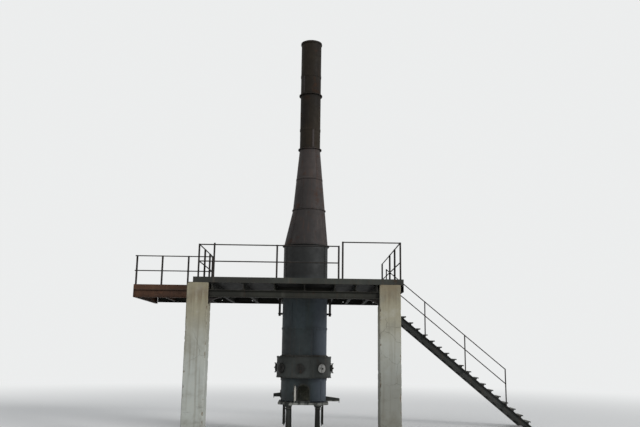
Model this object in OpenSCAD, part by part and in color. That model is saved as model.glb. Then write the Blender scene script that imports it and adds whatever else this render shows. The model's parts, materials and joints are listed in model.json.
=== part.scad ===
// Foundry cupola furnace with its charging platform, walkway and stair.
// Millimetres. The origin is on the floor under the furnace's axis, +Z is up,
// and the front, where the working door is, faces -Y.

/* [Furnace] */
// Outer diameter of the furnace shell
shell_d = 1380; // [1260:10:1460]
// Thickness of the shell plates
shell_t = 12; // [8:1:20]
// Thickness of the brick lining
lining_t = 215; // [180:5:250]
// Height of the bottom plate's underside above the floor
leg_h = 930; // [850:10:1050]
// Thickness of the cast bottom plate
plate_t = 60; // [40:5:80]
// How far the bottom plate stands out past the shell
plate_rim = 60; // [50:5:90]
// Clear height from the bottom plate to the wind box
well_h = 710; // [650:10:800]
// Height of the wind box
wind_h = 620; // [500:10:700]
// Depth of the wind box outside the shell
wind_depth = 140; // [110:5:180]
// Height of the shell above the charging deck
crown_h = 1380; // [1300:10:1500]
// Height of the hood's lower cone
hood_h = 1150; // [950:10:1300]
// Radius where the hood's two cones meet
neck_r = 510; // [460:5:560]
// Height of the hood's upper cone
neck_h = 2020; // [1700:20:2300]
// Outer radius of the stack
stack_r = 330; // [280:5:380]
// How far the stack stands to the right of the furnace's axis
stack_off = 75; // [0:5:90]
// Height of the stack above the hood
stack_h = 3690; // [2700:30:4500]
// Thickness of the hood and stack plates
stack_t = 8; // [6:1:12]

/* [Legs] */
// Distance of a leg's axis from the side edge of the bottom plate
leg_in_x = 315; // [290:5:330]
// Distance of a leg's axis from the front or rear edge of the bottom plate
leg_in_y = 130; // [118:2:150]
// Radius of a leg at its foot
leg_r = 78; // [60:2:85]

/* [Working door] */
// Width of the arched working opening
door_w = 330; // [280:5:360]
// Height of the opening from its sill to its crown
door_h = 470; // [400:10:520]
// Height of the sill above the bottom plate
door_sill = 50; // [50:5:100]
// Angle at which the door stands open
door_open = 97; // [60:1:120]

/* [Drop bottom] */
// Thickness of each bottom door's plate
drop_t = 25; // [18:1:30]
// Distance of the hinge line outside the doors' rim
drop_hinge_out = 75; // [60:5:90]

/* [Platform] */
// Height of the charging deck above the floor
deck_z = 4350; // [4200:10:4600]
// Distance from the furnace's axis to the deck's front edge
front_depth = 2400; // [2200:10:2700]
// Distance from the furnace's axis to the rear wall
rear_depth = 3650; // [3500:10:3900]
// Width of each square masonry pillar
pillar_w = 600; // [500:10:640]
// Clear width between the pillars
pillar_clear = 4780; // [4600:20:5000]
// Offset of the platform's middle from the furnace's axis
platform_off = -292; // [-340:4:-240]
// Depth of the front girder
girder_h = 200; // [160:10:260]
// Depth of the joists
joist_h = 200; // [160:10:220]
// Thickness of the deck plates
deck_t = 8; // [6:1:12]
// Height of the toe plates
toe_h = 150; // [100:10:180]

/* [Railings] */
// Height of the main top rail above the deck
rail_h = 1080; // [900:10:1150]
// Height of the taller rails on the right above the deck
rail_high = 1200; // [1160:10:1300]
// Height of the middle rail above the deck
rail_mid = 590; // [450:10:650]
// Radius of the rail tubes
rail_r = 17; // [12:1:22]
// Width of a post's angle iron
post_w = 50; // [40:1:60]
// Distance of the second front post from the left pillar's inner face
second_post = 125; // [80:5:300]
// Distance of the third front post from the left pillar's inner face
third_post = 1892; // [1500:4:2300]
// Distance of the fourth front post from the left pillar's inner face
fourth_post = 3633; // [3200:1:3750]
// Gap between the fourth post and the taller post beside it
post_pair = 112; // [80:2:160]
// Distances of the left railing's posts from the front edge
left_posts = [1120, 2130]; // [600:10:2500]
// Distances of the right railing's posts from the front edge
right_posts = [1360, 2680]; // [600:10:4200]

/* [Walkway] */
// Length of the walkway beyond the platform's left edge
walk_l = 2170; // [1600:10:2600]
// Distance of the walkway's front edge behind the furnace's axis
walk_y = 330; // [200:10:500]
// Depth of the walkway's front beam
walk_beam_h = 250; // [210:10:280]

/* [Stair] */
// Number of risers
risers = 21; // [19:1:23]
// Going of each tread
going = 250; // [230:5:270]
// Width of the stair over its stringers
stair_w = 800; // [700:10:860]
// Depth of a stringer
stringer_h = 200; // [160:10:240]
// Height of the stair's handrail above the nosings
stair_rail_h = 1080; // [900:10:1150]

/* [Hidden] */
$fn = 108;
e = 1;                       // how far a cutter runs past a face
gap = 0.3;                   // clearance between curved seats
run = 5;                     // clearance round a moving piece
pin_gap = 0.5;               // radial clearance at a hinge pin
joint = 0.5;                 // seam between two plates or two parts of the lining

shell_r = shell_d / 2;
lining_r = shell_r - shell_t - 3;
bore_r = lining_r - lining_t;
plate_top = leg_h + plate_t;
wind_z = plate_top + well_h;
wind_r = shell_r + wind_depth;
wind_t = 10;
seam_low = wind_z + wind_h / 3;
seam_drop = 350;
seam_high = deck_z - seam_drop;
shell_top = deck_z + crown_h;
hood_top = shell_top + hood_h;
neck_top = hood_top + neck_h;
stack_mid = neck_top + stack_h / 2;
stack_top = neck_top + stack_h;
neck_rim = 25;
hood_ledge = 40;
band_up = 660;
band_h = 80;
band_t = 7;
rim_h = 60;
rim_w = 20;
strap_w = 60;
strap_t = 10;
flange_t = 12;
flange_w = 50;

plate_half = shell_r + plate_rim;
leg_x = plate_half - leg_in_x;
leg_y = plate_half - leg_in_y;
leg_foot = 300;
leg_foot_t = 30;
leg_cap = 230;
leg_cap_t = 25;
anchor_pitch = 220;
anchor_r = 11;
plate_chamfer = 180;

door_r = door_w / 2;
door_z = plate_top + door_sill;
door_spring = door_z + door_h - door_r;
frame_face = shell_r + 50;
frame_w = 35;
door_t = 14;
door_lap = 20;
hinge_pin_r = 10;
knuckle_r = 20;
knuckle_h = 50;
hinge_lug_t = 25;
hinge_x = -(door_r + frame_w + run + knuckle_r);
hinge_y = -(frame_face + run + door_t / 2);
hinge_zs = [door_z + 60, door_spring + 55];

charge_w = 700;
charge_h = 800;
charge_sill = 400;
charge_z = deck_z + charge_sill;
charge_frame_w = 70;
charge_face = shell_r + 70;

tap_z = plate_top + 90;
tap_len = 410;
tap_half = 110;
tap_wall = 55;
tap_fall = 1.5;
tap_channel_up = 10;
tap_brim = 5;
tap_head = 65;
slag_fall = 3;
slag_z = plate_top + 215;
slag_len = 220;
slag_half = 70;
slag_floor = 85;
slag_brim = 5;
slag_head = 40;
slag_pad_t = 16;
slag_pad_rim = 40;
slag_pad_h = 220;
spout_in = 60;
tap_r = 45;
block_half = 110;
block_rise = 88;
block_face = shell_r - 10;
block_foot = shell_r - 40;

cover_r = 130;
cover_t = 22;
stub_r = 104;
stub_out = 26;
clamp_w = 28;
clamp_t = 12;
clamp_out = 20;
clamp_boss_r = 26;
clamp_boss_h = 34;
cover_step = 45;
cover_turn = -6.5;
box_seam = 16;
cover_z = wind_z + 0.45 * wind_h;
inlet_r = 150;
inlet_t = 10;
inlet_len = 330;
inlet_in = 60;
inlet_flange_r = 225;
inlet_flange_t = 18;
inlet_pcd = 390;
inlet_holes = 8;
inlet_hole_r = 9;
inlet_z = wind_z + wind_h / 2;

drop_r = bore_r + 40;
drop_hinge_x = drop_r + drop_hinge_out;
drop_pin_r = 14;
drop_knuckle_r = 26;
drop_axis_z = leg_h - run - drop_knuckle_r - 1;
drop_knuckle_w = 60;
drop_lug_t = 20;
drop_station = 260;
drop_split = 4;
drop_edge = drop_split + 30;
drop_pin_out = 15;
drop_rib_h = 38;
drop_rib_w = 22;

left_inner = platform_off - pillar_clear / 2;
right_inner = platform_off + pillar_clear / 2;
left_edge = left_inner - pillar_w;
side_w = 80;
right_edge = right_inner + pillar_w + side_w;
front_y = -front_depth;
wall_y = rear_depth;
wall_beam_w = 80;
joist_end_y = wall_y - wall_beam_w;
joist_front_y = front_y + 20;
deck_bottom = deck_z - deck_t;
joist_z = deck_bottom - joist_h;
girder_z = joist_z - girder_h;
girder_w = 140;
girder_y = front_y + 100;
joist_w = 90;
trim_x = 850;
trim_y = 900;
hole_r = shell_r + 60;
joist_step_l = (-left_inner - trim_x - 100) / 2;
joist_step_r = (right_inner - trim_x - 65) / 2;
joist_xs = [-trim_x - 2 * joist_step_l, -trim_x - joist_step_l, -trim_x,
            trim_x, trim_x + joist_step_r, trim_x + 2 * joist_step_r];
plate_gap = 2;
toe_t = 8;
haunch_l = 360;
haunch_h = 190;
haunch_tip = 22;
haunch_t = 14;
haunch_steps = 12;

rail_left_x = left_inner - 300;
rail_right_x = right_edge - 88;
rail_front_y = front_y + toe_t + post_w / 2;
post_t = 6;
post_foot_t = 8;
front_posts = [rail_left_x, left_inner + second_post, left_inner + third_post, left_inner + fourth_post];
gate_post = left_inner + fourth_post + post_pair;

walk_end = left_edge - walk_l;
walk_beam_w = 110;
walk_joist_h = 160;
walk_joist_w = 74;
walk_first_post = 468;
walk_second_post = 1300;
walk_last_post = 60;
walk_posts = [left_edge - walk_first_post, left_edge - walk_second_post, walk_end + walk_last_post];
end_beam_w = 80;

rise = deck_z / risers;
stair_y = wall_y - 50 - stair_w;
stair_x = right_edge;
pitch = atan(rise / going);
treads = risers - 1;
tread_t = 8;
tread_lip = 40;
tread_end = 100;
tread_nose = 20;
tread_back = 4;
stringer_drop = 140;
stringer_w = 65;
hanger_t = 10;
web_t = 8;
fl_t = 11;
stair_posts = [70, 1420, 2800, 4180];
stair_post_w = 40;
stair_post_low = 60;
steady_x = shell_r + 90;
steady_w = 70;
steady_t = 8;
steady_foot_t = 12;
steady_lug_w = 50;
steady_lug_h = 60;
steady_lug_up = 40;
steady_bolt_r = 22;
steady_bolt_h = 16;
steady_drop = 805;
steady_z = deck_z - steady_drop;
wall_hole_r = 11;
wall_hole_pitch = 1100;
wall_holes = 6;
end_hole_pitch = 880;

// Tube between two heights
module tube(r_out, r_in, z0, z1) {
    difference() {
        translate([0, 0, z0]) cylinder(r = r_out, h = z1 - z0);
        translate([0, 0, z0 - e]) cylinder(r = r_in, h = z1 - z0 + 2 * e);
    }
}

// Rolled I section along Y, with its top at z = 0
module i_beam_y(h, w, web, fl, y0, y1) {
    translate([-w / 2, y0, -fl]) cube([w, y1 - y0, fl]);
    translate([-w / 2, y0, -h]) cube([w, y1 - y0, fl]);
    translate([-web / 2, y0, -h + fl / 2]) cube([web, y1 - y0, h - fl]);
}

module i_beam_x(h, w, web, fl, x0, x1) {
    rotate([0, 0, -90]) i_beam_y(h, w, web, fl, x0, x1);
}

// Rolled channel along Y with its back on x = 0 and its flanges towards +X
module channel_y(h, w, web, fl, y0, y1) {
    translate([0, y0, -h]) cube([web, y1 - y0, h]);
    translate([0, y0, -fl]) cube([w, y1 - y0, fl]);
    translate([0, y0, -h]) cube([w, y1 - y0, fl]);
}

// Arched outline, width w, from z0 up to a half circle whose centre is at zs
module arch(w, z0, zs) {
    translate([-w / 2, z0]) square([w, zs - z0]);
    translate([0, zs]) circle(r = w / 2);
}

// An XZ outline turned upright and run along -Y from y = -y0 to y = -y1
module run_front(y0, y1) {
    translate([0, -y0, 0]) rotate([90, 0, 0]) linear_extrude(height = y1 - y0) children();
}

module leg_at(sx, sy) {
    color("dimgray") translate([sx * leg_x, sy * leg_y, 0]) {
        difference() {
            translate([-leg_foot / 2, -leg_foot / 2, 0]) cube([leg_foot, leg_foot, leg_foot_t]);
            for (ix = [-1, 1], iy = [-1, 1])
                translate([ix * anchor_pitch / 2, iy * anchor_pitch / 2, -e])
                    cylinder(r = anchor_r, h = leg_foot_t + 2 * e);
        }
        rotate_extrude() polygon([
            [0, leg_foot_t - e], [leg_r + 30, leg_foot_t - e], [leg_r + 30, leg_foot_t + 22],
            [leg_r + 6, leg_foot_t + 50], [leg_r, leg_foot_t + 80],
            [leg_r - 12, leg_h - 150], [leg_r + 8, leg_h - 125], [leg_r + 8, leg_h - 100],
            [leg_r - 12, leg_h - 90], [leg_r + 16, leg_h - leg_cap_t], [leg_r + 16, leg_h - leg_cap_t + e],
            [0, leg_h - leg_cap_t + e]]);
        translate([-leg_cap / 2, -leg_cap / 2, leg_h - leg_cap_t]) cube([leg_cap, leg_cap, leg_cap_t]);
    }
}

module bottom_plate() {
    c = plate_half - plate_chamfer;
    color("dimgray") {
        difference() {
            translate([0, 0, leg_h]) linear_extrude(height = plate_t) polygon([
                [plate_half, -c], [plate_half, c], [c, plate_half], [-c, plate_half],
                [-plate_half, c], [-plate_half, -c], [-c, -plate_half], [c, -plate_half]]);
            translate([0, 0, leg_h - e]) cylinder(r = bore_r, h = plate_t + 2 * e);
        }
        for (s = [-1, 1]) drop_lugs(s);
    }
}

// Hinge lugs under the plate and the pin that they hold
module drop_lugs(s) {
    lug_low = drop_axis_z - drop_knuckle_r;
    side = drop_knuckle_w / 2 + run;
    for (st = [-1, 1], k = [-1, 1])
        translate([s * drop_hinge_x - drop_knuckle_r,
                   st * drop_station + k * (side + drop_lug_t / 2) - drop_lug_t / 2, lug_low])
            cube([2 * drop_knuckle_r, drop_lug_t, leg_h - lug_low + e]);
    pin_end = drop_station + side + drop_lug_t + drop_pin_out;
    translate([s * drop_hinge_x, pin_end, drop_axis_z])
        rotate([90, 0, 0]) cylinder(r = drop_pin_r, h = 2 * pin_end);
}

// A bottom door as it stands when shut, for the side s of the furnace
module drop_door_shut(s) {
    top = leg_h - run;
    rib_low = top - drop_t - drop_rib_h;
    difference() {
        union() {
            intersection() {
                translate([0, 0, top - drop_t]) cylinder(r = drop_r, h = drop_t);
                translate([s > 0 ? drop_split : -drop_r - e, -drop_r - e, top - drop_t - e])
                    cube([drop_r + e - drop_split, 2 * (drop_r + e), drop_t + 2 * e]);
            }
            for (st = [-1, 1]) {
                translate([s > 0 ? drop_edge : -drop_hinge_x,
                           st * drop_station - drop_knuckle_w / 2, rib_low])
                    cube([drop_hinge_x - drop_edge, drop_knuckle_w, drop_rib_h + e]);
                translate([s * drop_hinge_x, st * drop_station + drop_knuckle_w / 2, drop_axis_z])
                    rotate([90, 0, 0]) cylinder(r = drop_knuckle_r, h = drop_knuckle_w);
            }
            translate([s > 0 ? drop_edge : -drop_edge - drop_rib_w, -drop_r * 0.86, rib_low])
                cube([drop_rib_w, 2 * drop_r * 0.86, drop_rib_h + e]);
            translate([s * drop_r * 0.5 - drop_rib_w / 2, -drop_r * 0.8, rib_low])
                cube([drop_rib_w, 2 * drop_r * 0.8, drop_rib_h + e]);
        }
        translate([s * drop_hinge_x, drop_station + drop_knuckle_w, drop_axis_z])
            rotate([90, 0, 0]) cylinder(r = drop_pin_r + pin_gap, h = 2 * (drop_station + drop_knuckle_w));
    }
}

// The bottom doors hang open, as they are left after a drop
module drop_door(s) {
    color("dimgray")
        translate([s * drop_hinge_x, 0, drop_axis_z]) rotate([0, -s * 90, 0])
            translate([-s * drop_hinge_x, 0, -drop_axis_z]) drop_door_shut(s);
}

module working_cut(extra, y0, y1) {
    run_front(y0, y1) arch(door_w + 2 * extra, door_z - extra, door_spring);
}

// Room for the blocks of the tap hole and the slag hole, the first one from tap_low up
module block_cuts(tap_low) {
    l = shell_r - bore_r + 2 * block_half;
    translate([bore_r - block_half, -block_half, tap_low])
        cube([l, 2 * block_half, tap_z + block_rise - tap_low]);
    translate([-bore_r + block_half - l, -block_half, slag_z - block_rise])
        cube([l, 2 * block_half, 2 * block_rise]);
}

// Upright seams along X beside both blocks
module block_seams() {
    for (s = [-1, 1], side = [block_half, -block_half - joint])
        translate([s > 0 ? 0 : -wind_r, side, plate_top - e])
            cube([wind_r, joint, seam_low - plate_top + 2 * e]);
}

// Upright seams along Y, a distance x to each side of the working opening
module front_seams(x, z1) {
    for (side = [x, -x - joint])
        translate([side, -wind_r, plate_top - e]) cube([joint, wind_r, z1 - plate_top + e]);
}

// Upright seam from the furnace's axis outwards at an angle from +X
module radial_seam(a, z0, z1) {
    rotate([0, 0, a]) translate([0, -joint / 2, z0 - e]) cube([wind_r + flange_w, joint, z1 - z0 + 2 * e]);
}

// Rolled plates, with strips above and below the openings
module well_shell() {
    color("slategray") difference() {
        union() {
            tube(shell_r, shell_r - shell_t, plate_top, seam_low);
            tube(shell_r + flange_w, shell_r - e, plate_top, plate_top + flange_t);
            tube(shell_r + 14, shell_r - e, wind_z - 90, wind_z);
        }
        working_cut(0, 0, shell_r + 100);
        working_cut(frame_w, shell_r - e - 60, shell_r + 100);
        block_cuts(plate_top + flange_t);
        block_seams();
        front_seams(door_r + frame_w, seam_low + e);
        radial_seam(90, plate_top, seam_low);
    }
}

// The lining is laid in segments, and one of them carries the arch of the working opening
module well_lining() {
    color("sienna") difference() {
        tube(lining_r, bore_r, plate_top, seam_low);
        working_cut(0, 0, shell_r + 100);
        block_cuts(plate_top - e);
        block_seams();
        front_seams(door_r, door_spring);
        for (a = [45, 90, 135, 225, 315]) radial_seam(a, plate_top, seam_low);
        translate([0, 0, door_spring]) linear_extrude(height = joint)
            polygon([[0, 0], [-wind_r, -wind_r], [wind_r, -wind_r]]);
    }
}

// Refractory blocks with the tap hole and the slag hole through them
module tap_block() {
    w = block_half - joint;
    color("tan") difference() {
        union() {
            translate([bore_r, -w, plate_top + flange_t])
                cube([block_face - bore_r, 2 * w, tap_z + block_rise - plate_top - flange_t]);
            translate([bore_r, -w, plate_top]) cube([block_foot - bore_r, 2 * w, flange_t + e]);
        }
        translate([bore_r - e, 0, tap_z]) rotate([0, 90, 0]) cylinder(r = tap_r, h = shell_r - bore_r);
    }
}

module slag_block() {
    w = block_half - joint;
    color("tan") difference() {
        translate([-block_face, -w, slag_z - block_rise])
            cube([block_face - bore_r, 2 * w, 2 * block_rise]);
        translate([-shell_r, 0, slag_z]) rotate([0, 90, 0]) cylinder(r = tap_r, h = shell_r - bore_r + e);
    }
}

module working_frame() {
    color("dimgray") {
        difference() {
            working_cut(frame_w, lining_r - 120, frame_face);
            translate([0, 0, plate_top]) cylinder(r = shell_r - shell_t, h = seam_low - plate_top);
            working_cut(0, 0, frame_face + e);
        }
        for (z = hinge_zs) {
            translate([0, 0, z - hinge_lug_t]) linear_extrude(height = hinge_lug_t - gap) polygon([
                [hinge_x - knuckle_r, hinge_y - knuckle_r], [hinge_x + knuckle_r, hinge_y - knuckle_r],
                [hinge_x + knuckle_r, -frame_face], [-door_r - frame_w / 2, -frame_face],
                [-door_r - frame_w / 2, 40 - frame_face], [hinge_x - knuckle_r, 40 - frame_face]]);
            translate([hinge_x, hinge_y, z - hinge_lug_t / 2])
                cylinder(r = hinge_pin_r, h = knuckle_h + hinge_lug_t / 2 + 15);
        }
    }
}

module working_door_shut() {
    face = hinge_y - door_t / 2;
    difference() {
        union() {
            translate([0, hinge_y + door_t / 2, 0]) rotate([90, 0, 0]) linear_extrude(height = door_t)
                arch(door_w + 2 * door_lap, door_z - door_lap, door_spring);
            for (z = hinge_zs) {
                translate([hinge_x, hinge_y, z]) cylinder(r = knuckle_r, h = knuckle_h);
                translate([hinge_x, face - 8, z + 6]) cube([-hinge_x + door_r - 30, 10, knuckle_h - 12]);
            }
            translate([door_r - 22, face - 45, door_z + door_h / 2 - 40]) cube([16, 47, 80]);
        }
        for (z = hinge_zs)
            translate([hinge_x, hinge_y, z - e]) cylinder(r = hinge_pin_r + pin_gap, h = knuckle_h + 2 * e);
    }
}

// The working door stands open on its hinge
module working_door() {
    color("gray")
        translate([hinge_x, hinge_y, 0]) rotate([0, 0, -door_open])
            translate([-hinge_x, -hinge_y, 0]) working_door_shut();
}

// Round-bottomed channel that runs along +X and falls by an angle
module channel_cut(r, l, fall) {
    rotate([0, 90 + fall, 0]) linear_extrude(height = l) {
        circle(r = r);
        translate([-4 * r, -r]) square([4 * r, 2 * r]);
    }
}

module tap_spout() {
    color("dimgray") difference() {
        translate([0, tap_half, 0]) rotate([90, 0, 0]) linear_extrude(height = 2 * tap_half) polygon([
            [shell_r - spout_in, plate_top + flange_t], [shell_r + flange_w + 2, plate_top + flange_t],
            [shell_r + tap_len, plate_top + flange_t], [shell_r + tap_len, tap_z + tap_brim],
            [shell_r - spout_in, tap_z + tap_head]]);
        translate([0, 0, plate_top]) cylinder(r = shell_r + gap, h = tap_z + tap_head);
        translate([shell_r - tap_half, 0, tap_z + tap_channel_up])
            channel_cut(tap_half - tap_wall, tap_len + 2 * tap_half, tap_fall);
    }
}

module slag_spout() {
    color("dimgray") difference() {
        union() {
            translate([0, slag_half, 0]) rotate([90, 0, 0]) linear_extrude(height = 2 * slag_half) polygon([
                [-shell_r + spout_in, slag_z - slag_floor], [-shell_r - slag_len, slag_z - slag_floor],
                [-shell_r - slag_len, slag_z + slag_brim], [-shell_r + spout_in, slag_z + slag_head]]);
            translate([-shell_r - slag_pad_t, -slag_half - slag_pad_rim, slag_z - slag_pad_h / 2])
                cube([70, 2 * (slag_half + slag_pad_rim), slag_pad_h]);
        }
        translate([0, 0, slag_z - slag_pad_h]) cylinder(r = shell_r + gap, h = 2 * slag_pad_h);
        translate([slag_half - shell_r, 0, slag_z]) rotate([0, 0, 180])
            channel_cut(tap_r, slag_len + 2 * slag_half, slag_fall);
    }
}

// Two halves, parted beside a cover at the front and through the blast inlet at the rear
module wind_box() {
    color("darkslategray") difference() {
        union() {
            rotate_extrude() polygon([
                [shell_r + gap, wind_z], [wind_r + 15, wind_z], [wind_r + 15, wind_z + flange_t],
                [wind_r, wind_z + flange_t], [wind_r, wind_z + wind_h - flange_t],
                [wind_r + 15, wind_z + wind_h - flange_t], [wind_r + 15, wind_z + wind_h],
                [shell_r + gap, wind_z + wind_h], [shell_r + gap, wind_z + wind_h - wind_t],
                [wind_r - wind_t, wind_z + wind_h - wind_t], [wind_r - wind_t, wind_z + wind_t],
                [shell_r + gap, wind_z + wind_t]]);
            for (k = [0:7]) if (k != 4) rotate([0, 0, k * cover_step + cover_turn])
                difference() {
                    translate([0, -wind_r - stub_out, cover_z]) rotate([-90, 0, 0])
                        cylinder(r = stub_r, h = stub_out + 30);
                    translate([0, 0, cover_z - 2 * stub_r]) cylinder(r = wind_r - wind_t, h = 4 * stub_r);
                }
        }
        translate([0, wind_r - 100, inlet_z]) rotate([-90, 0, 0]) cylinder(r = inlet_r, h = 200);
        radial_seam(90, wind_z, wind_z + wind_h);
        radial_seam(box_seam - 90, wind_z, wind_z + wind_h);
    }
}

module tuyere_covers() {
    color("gray") for (k = [0:7]) if (k != 4) rotate([0, 0, k * cover_step + cover_turn]) {
        translate([0, -wind_r - stub_out, cover_z]) rotate([90, 0, 0]) cylinder(r = cover_r, h = cover_t);
        translate([-clamp_w / 2, -wind_r - stub_out - cover_t - clamp_t, cover_z - cover_r - clamp_out])
            cube([clamp_w, clamp_t + e, 2 * (cover_r + clamp_out)]);
        translate([0, -wind_r - stub_out - cover_t, cover_z]) rotate([90, 0, 0])
            cylinder(r = clamp_boss_r, h = clamp_boss_h);
    }
}

module blast_inlet() {
    far = wind_r + inlet_len;
    color("darkslategray") difference() {
        union() {
            translate([0, wind_r - inlet_in, inlet_z]) rotate([-90, 0, 0])
                cylinder(r = inlet_r + inlet_t, h = inlet_len + inlet_in);
            translate([0, far - inlet_flange_t, inlet_z]) rotate([-90, 0, 0])
                cylinder(r = inlet_flange_r, h = inlet_flange_t);
        }
        translate([0, wind_r - 100, inlet_z]) rotate([-90, 0, 0])
            cylinder(r = inlet_r, h = inlet_len + 200);
        translate([0, 0, wind_z - e]) cylinder(r = wind_r + gap, h = wind_h + 2 * e);
        for (k = [0:inlet_holes - 1])
            translate([inlet_pcd / 2 * cos((k + 0.5) * 360 / inlet_holes), far - 2 * inlet_flange_t,
                       inlet_z + inlet_pcd / 2 * sin((k + 0.5) * 360 / inlet_holes)])
                rotate([-90, 0, 0]) cylinder(r = inlet_hole_r, h = 3 * inlet_flange_t);
    }
}

module shaft_shell() {
    color("slategray") {
        tube(shell_r, shell_r - shell_t, seam_low, seam_high);
        tube(shell_r + strap_t, shell_r - e, seam_high - strap_w, seam_high);
        tube(shell_r + strap_t, shell_r - e, (wind_z + wind_h + seam_high) / 2 - strap_w / 2,
             (wind_z + wind_h + seam_high) / 2 + strap_w / 2);
    }
}

module shaft_lining() {
    color("sienna") tube(lining_r, bore_r, seam_low, seam_high);
}

module charge_cut(extra, y0, y1) {
    translate([-charge_w / 2 - extra, y0, charge_z - extra])
        cube([charge_w + 2 * extra, y1 - y0, charge_h + 2 * extra]);
}

module charging_shell() {
    color("slategray") difference() {
        union() {
            tube(shell_r, shell_r - shell_t, seam_high, shell_top);
            tube(shell_r + strap_t, shell_r - e, seam_high, seam_high + strap_w);
            tube(shell_r + flange_w, shell_r - e, shell_top - flange_t, shell_top);
        }
        charge_cut(charge_frame_w, shell_r - 200, shell_r + 100);
    }
}

module charging_lining() {
    color("sienna") difference() {
        tube(lining_r, bore_r, seam_high, shell_top);
        charge_cut(0, 0, shell_r + 100);
    }
}

module charging_frame() {
    color("dimgray") difference() {
        charge_cut(charge_frame_w, lining_r - 160, charge_face);
        translate([0, 0, seam_high]) cylinder(r = shell_r - shell_t, h = shell_top - seam_high);
        charge_cut(0, 0, charge_face + e);
    }
}

// Cone from the shell's top to the foot of the upper cone, which stands off to one side
module slant_cone(inset, over) {
    hull() {
        translate([0, 0, shell_top + flange_t - over])
            cylinder(r = shell_r - inset, h = over + e, $fn = 60);
        translate([stack_off, 0, hood_top - e]) cylinder(r = neck_r - inset, h = over + e, $fn = 60);
    }
}

// Lower cone, with a flange at the shell and one at the upper cone
module hood() {
    color("saddlebrown") difference() {
        union() {
            slant_cone(0, 0);
            tube(shell_r + flange_w, shell_r - shell_t - hood_ledge, shell_top, shell_top + flange_t);
            translate([stack_off, 0, 0])
                tube(neck_r + neck_rim, neck_r - 2 * stack_t, hood_top - flange_t, hood_top);
        }
        slant_cone(stack_t, e);
    }
}

// Upper cone, right under the stack
module hood_neck() {
    low = hood_top + flange_t;
    high = neck_top - flange_t;
    color("saddlebrown") translate([stack_off, 0, 0]) rotate_extrude() polygon([
        [neck_r - stack_t, hood_top], [neck_r + neck_rim, hood_top], [neck_r + neck_rim, low],
        [neck_r, low], [stack_r, high], [stack_r + flange_w, high], [stack_r + flange_w, neck_top],
        [stack_r - stack_t, neck_top], [stack_r - stack_t, high], [neck_r - stack_t, low]]);
}

module stack_part(z0, z1, rim) {
    color("saddlebrown") translate([stack_off, 0, 0]) {
        tube(stack_r, stack_r - stack_t, z0, z1);
        tube(stack_r + flange_w, stack_r - e, z0, z0 + flange_t);
        tube(stack_r + (rim ? rim_w : flange_w), stack_r - e, z1 - (rim ? rim_h : flange_t), z1);
        tube(stack_r + band_t, stack_r - e, z0 + band_up - band_h / 2, z0 + band_up + band_h / 2);
    }
}

// Angle bar that hangs from a joist and steadies the shell with a bolted lug
module steady_bar(s) {
    top = joist_z;
    inner = steady_x - steady_w / 2;
    outer = steady_x + steady_w / 2;
    lug_z = steady_z + steady_lug_up;
    reach = trim_x + joist_w / 2 - inner;
    color("black") {
        translate([s > 0 ? inner : -outer, -steady_w / 2, steady_z])
            cube([steady_w, steady_t, top - steady_z]);
        translate([s > 0 ? outer - steady_t : -outer, -steady_w / 2, steady_z])
            cube([steady_t, steady_w, top - steady_z]);
        translate([s > 0 ? inner : -inner - reach, -steady_w, top - steady_foot_t])
            cube([reach, 2 * steady_w, steady_foot_t]);
        difference() {
            translate([s > 0 ? 0 : -outer + e, -steady_lug_w / 2, lug_z])
                cube([outer - e, steady_lug_w, steady_lug_h]);
            translate([0, 0, steady_z]) cylinder(r = shell_r + gap, h = top - steady_z);
        }
        translate([s * (outer - e), 0, lug_z + steady_lug_h / 2]) rotate([0, s * 90, 0])
            cylinder(r = steady_bolt_r, h = steady_bolt_h, $fn = 6);
    }
}

module pillar(x) {
    color("gainsboro") translate([x, front_y, 0]) cube([pillar_w, pillar_w, deck_bottom]);
}

// Depth of a haunch under the girder at a distance x from the pillar
function haunch_depth(x) = haunch_tip + (haunch_h - haunch_tip) * pow(1 - x / haunch_l, 2);

// Plate haunches that carry the girder's ends: a web with a curved flange under it
module girder_seats() {
    xs = [for (k = [0:haunch_steps]) k * haunch_l / haunch_steps];
    color("saddlebrown") for (s = [-1, 1]) {
        under = [for (x = xs) [-s * x, -haunch_depth(x)]];
        over = [for (k = [haunch_steps:-1:0]) [-s * xs[k], haunch_t - haunch_depth(xs[k])]];
        translate([s < 0 ? left_inner : right_inner, girder_y, girder_z]) rotate([90, 0, 0]) {
            translate([0, 0, -haunch_t / 2]) linear_extrude(height = haunch_t)
                polygon(concat(under, [[-s * haunch_l, 0], [0, 0]]));
            translate([0, 0, -girder_w / 2]) linear_extrude(height = girder_w)
                polygon(concat(under, over));
        }
    }
}

module front_girder() {
    color("darkslategray") translate([0, girder_y, joist_z])
        i_beam_x(girder_h, girder_w, 10, 15, left_inner, right_inner);
}

module joists() {
    color("darkslategray") translate([0, 0, deck_bottom]) {
        for (x = joist_xs)
            translate([x, 0, 0]) i_beam_y(joist_h, joist_w, web_t, fl_t, joist_front_y, joist_end_y);
        i_beam_y(joist_h, joist_w, web_t, fl_t, joist_front_y, -trim_y - joist_w / 2);
        i_beam_y(joist_h, joist_w, web_t, fl_t, trim_y + joist_w / 2, joist_end_y);
    }
}

module trimmers() {
    color("darkslategray") for (s = [-1, 1]) translate([0, s * trim_y, deck_bottom])
        i_beam_x(joist_h, joist_w, web_t, fl_t, -trim_x + joist_w / 2, trim_x - joist_w / 2);
}

module side_beam_left() {
    color("darkslategray") translate([left_edge, 0, deck_bottom])
        channel_y(joist_h, side_w, web_t, fl_t, front_y + pillar_w, joist_end_y);
}

module side_beam_right() {
    color("darkslategray") translate([right_edge, 0, deck_bottom]) mirror([1, 0, 0])
        channel_y(joist_h, side_w, web_t, fl_t, front_y, joist_end_y);
}

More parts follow.
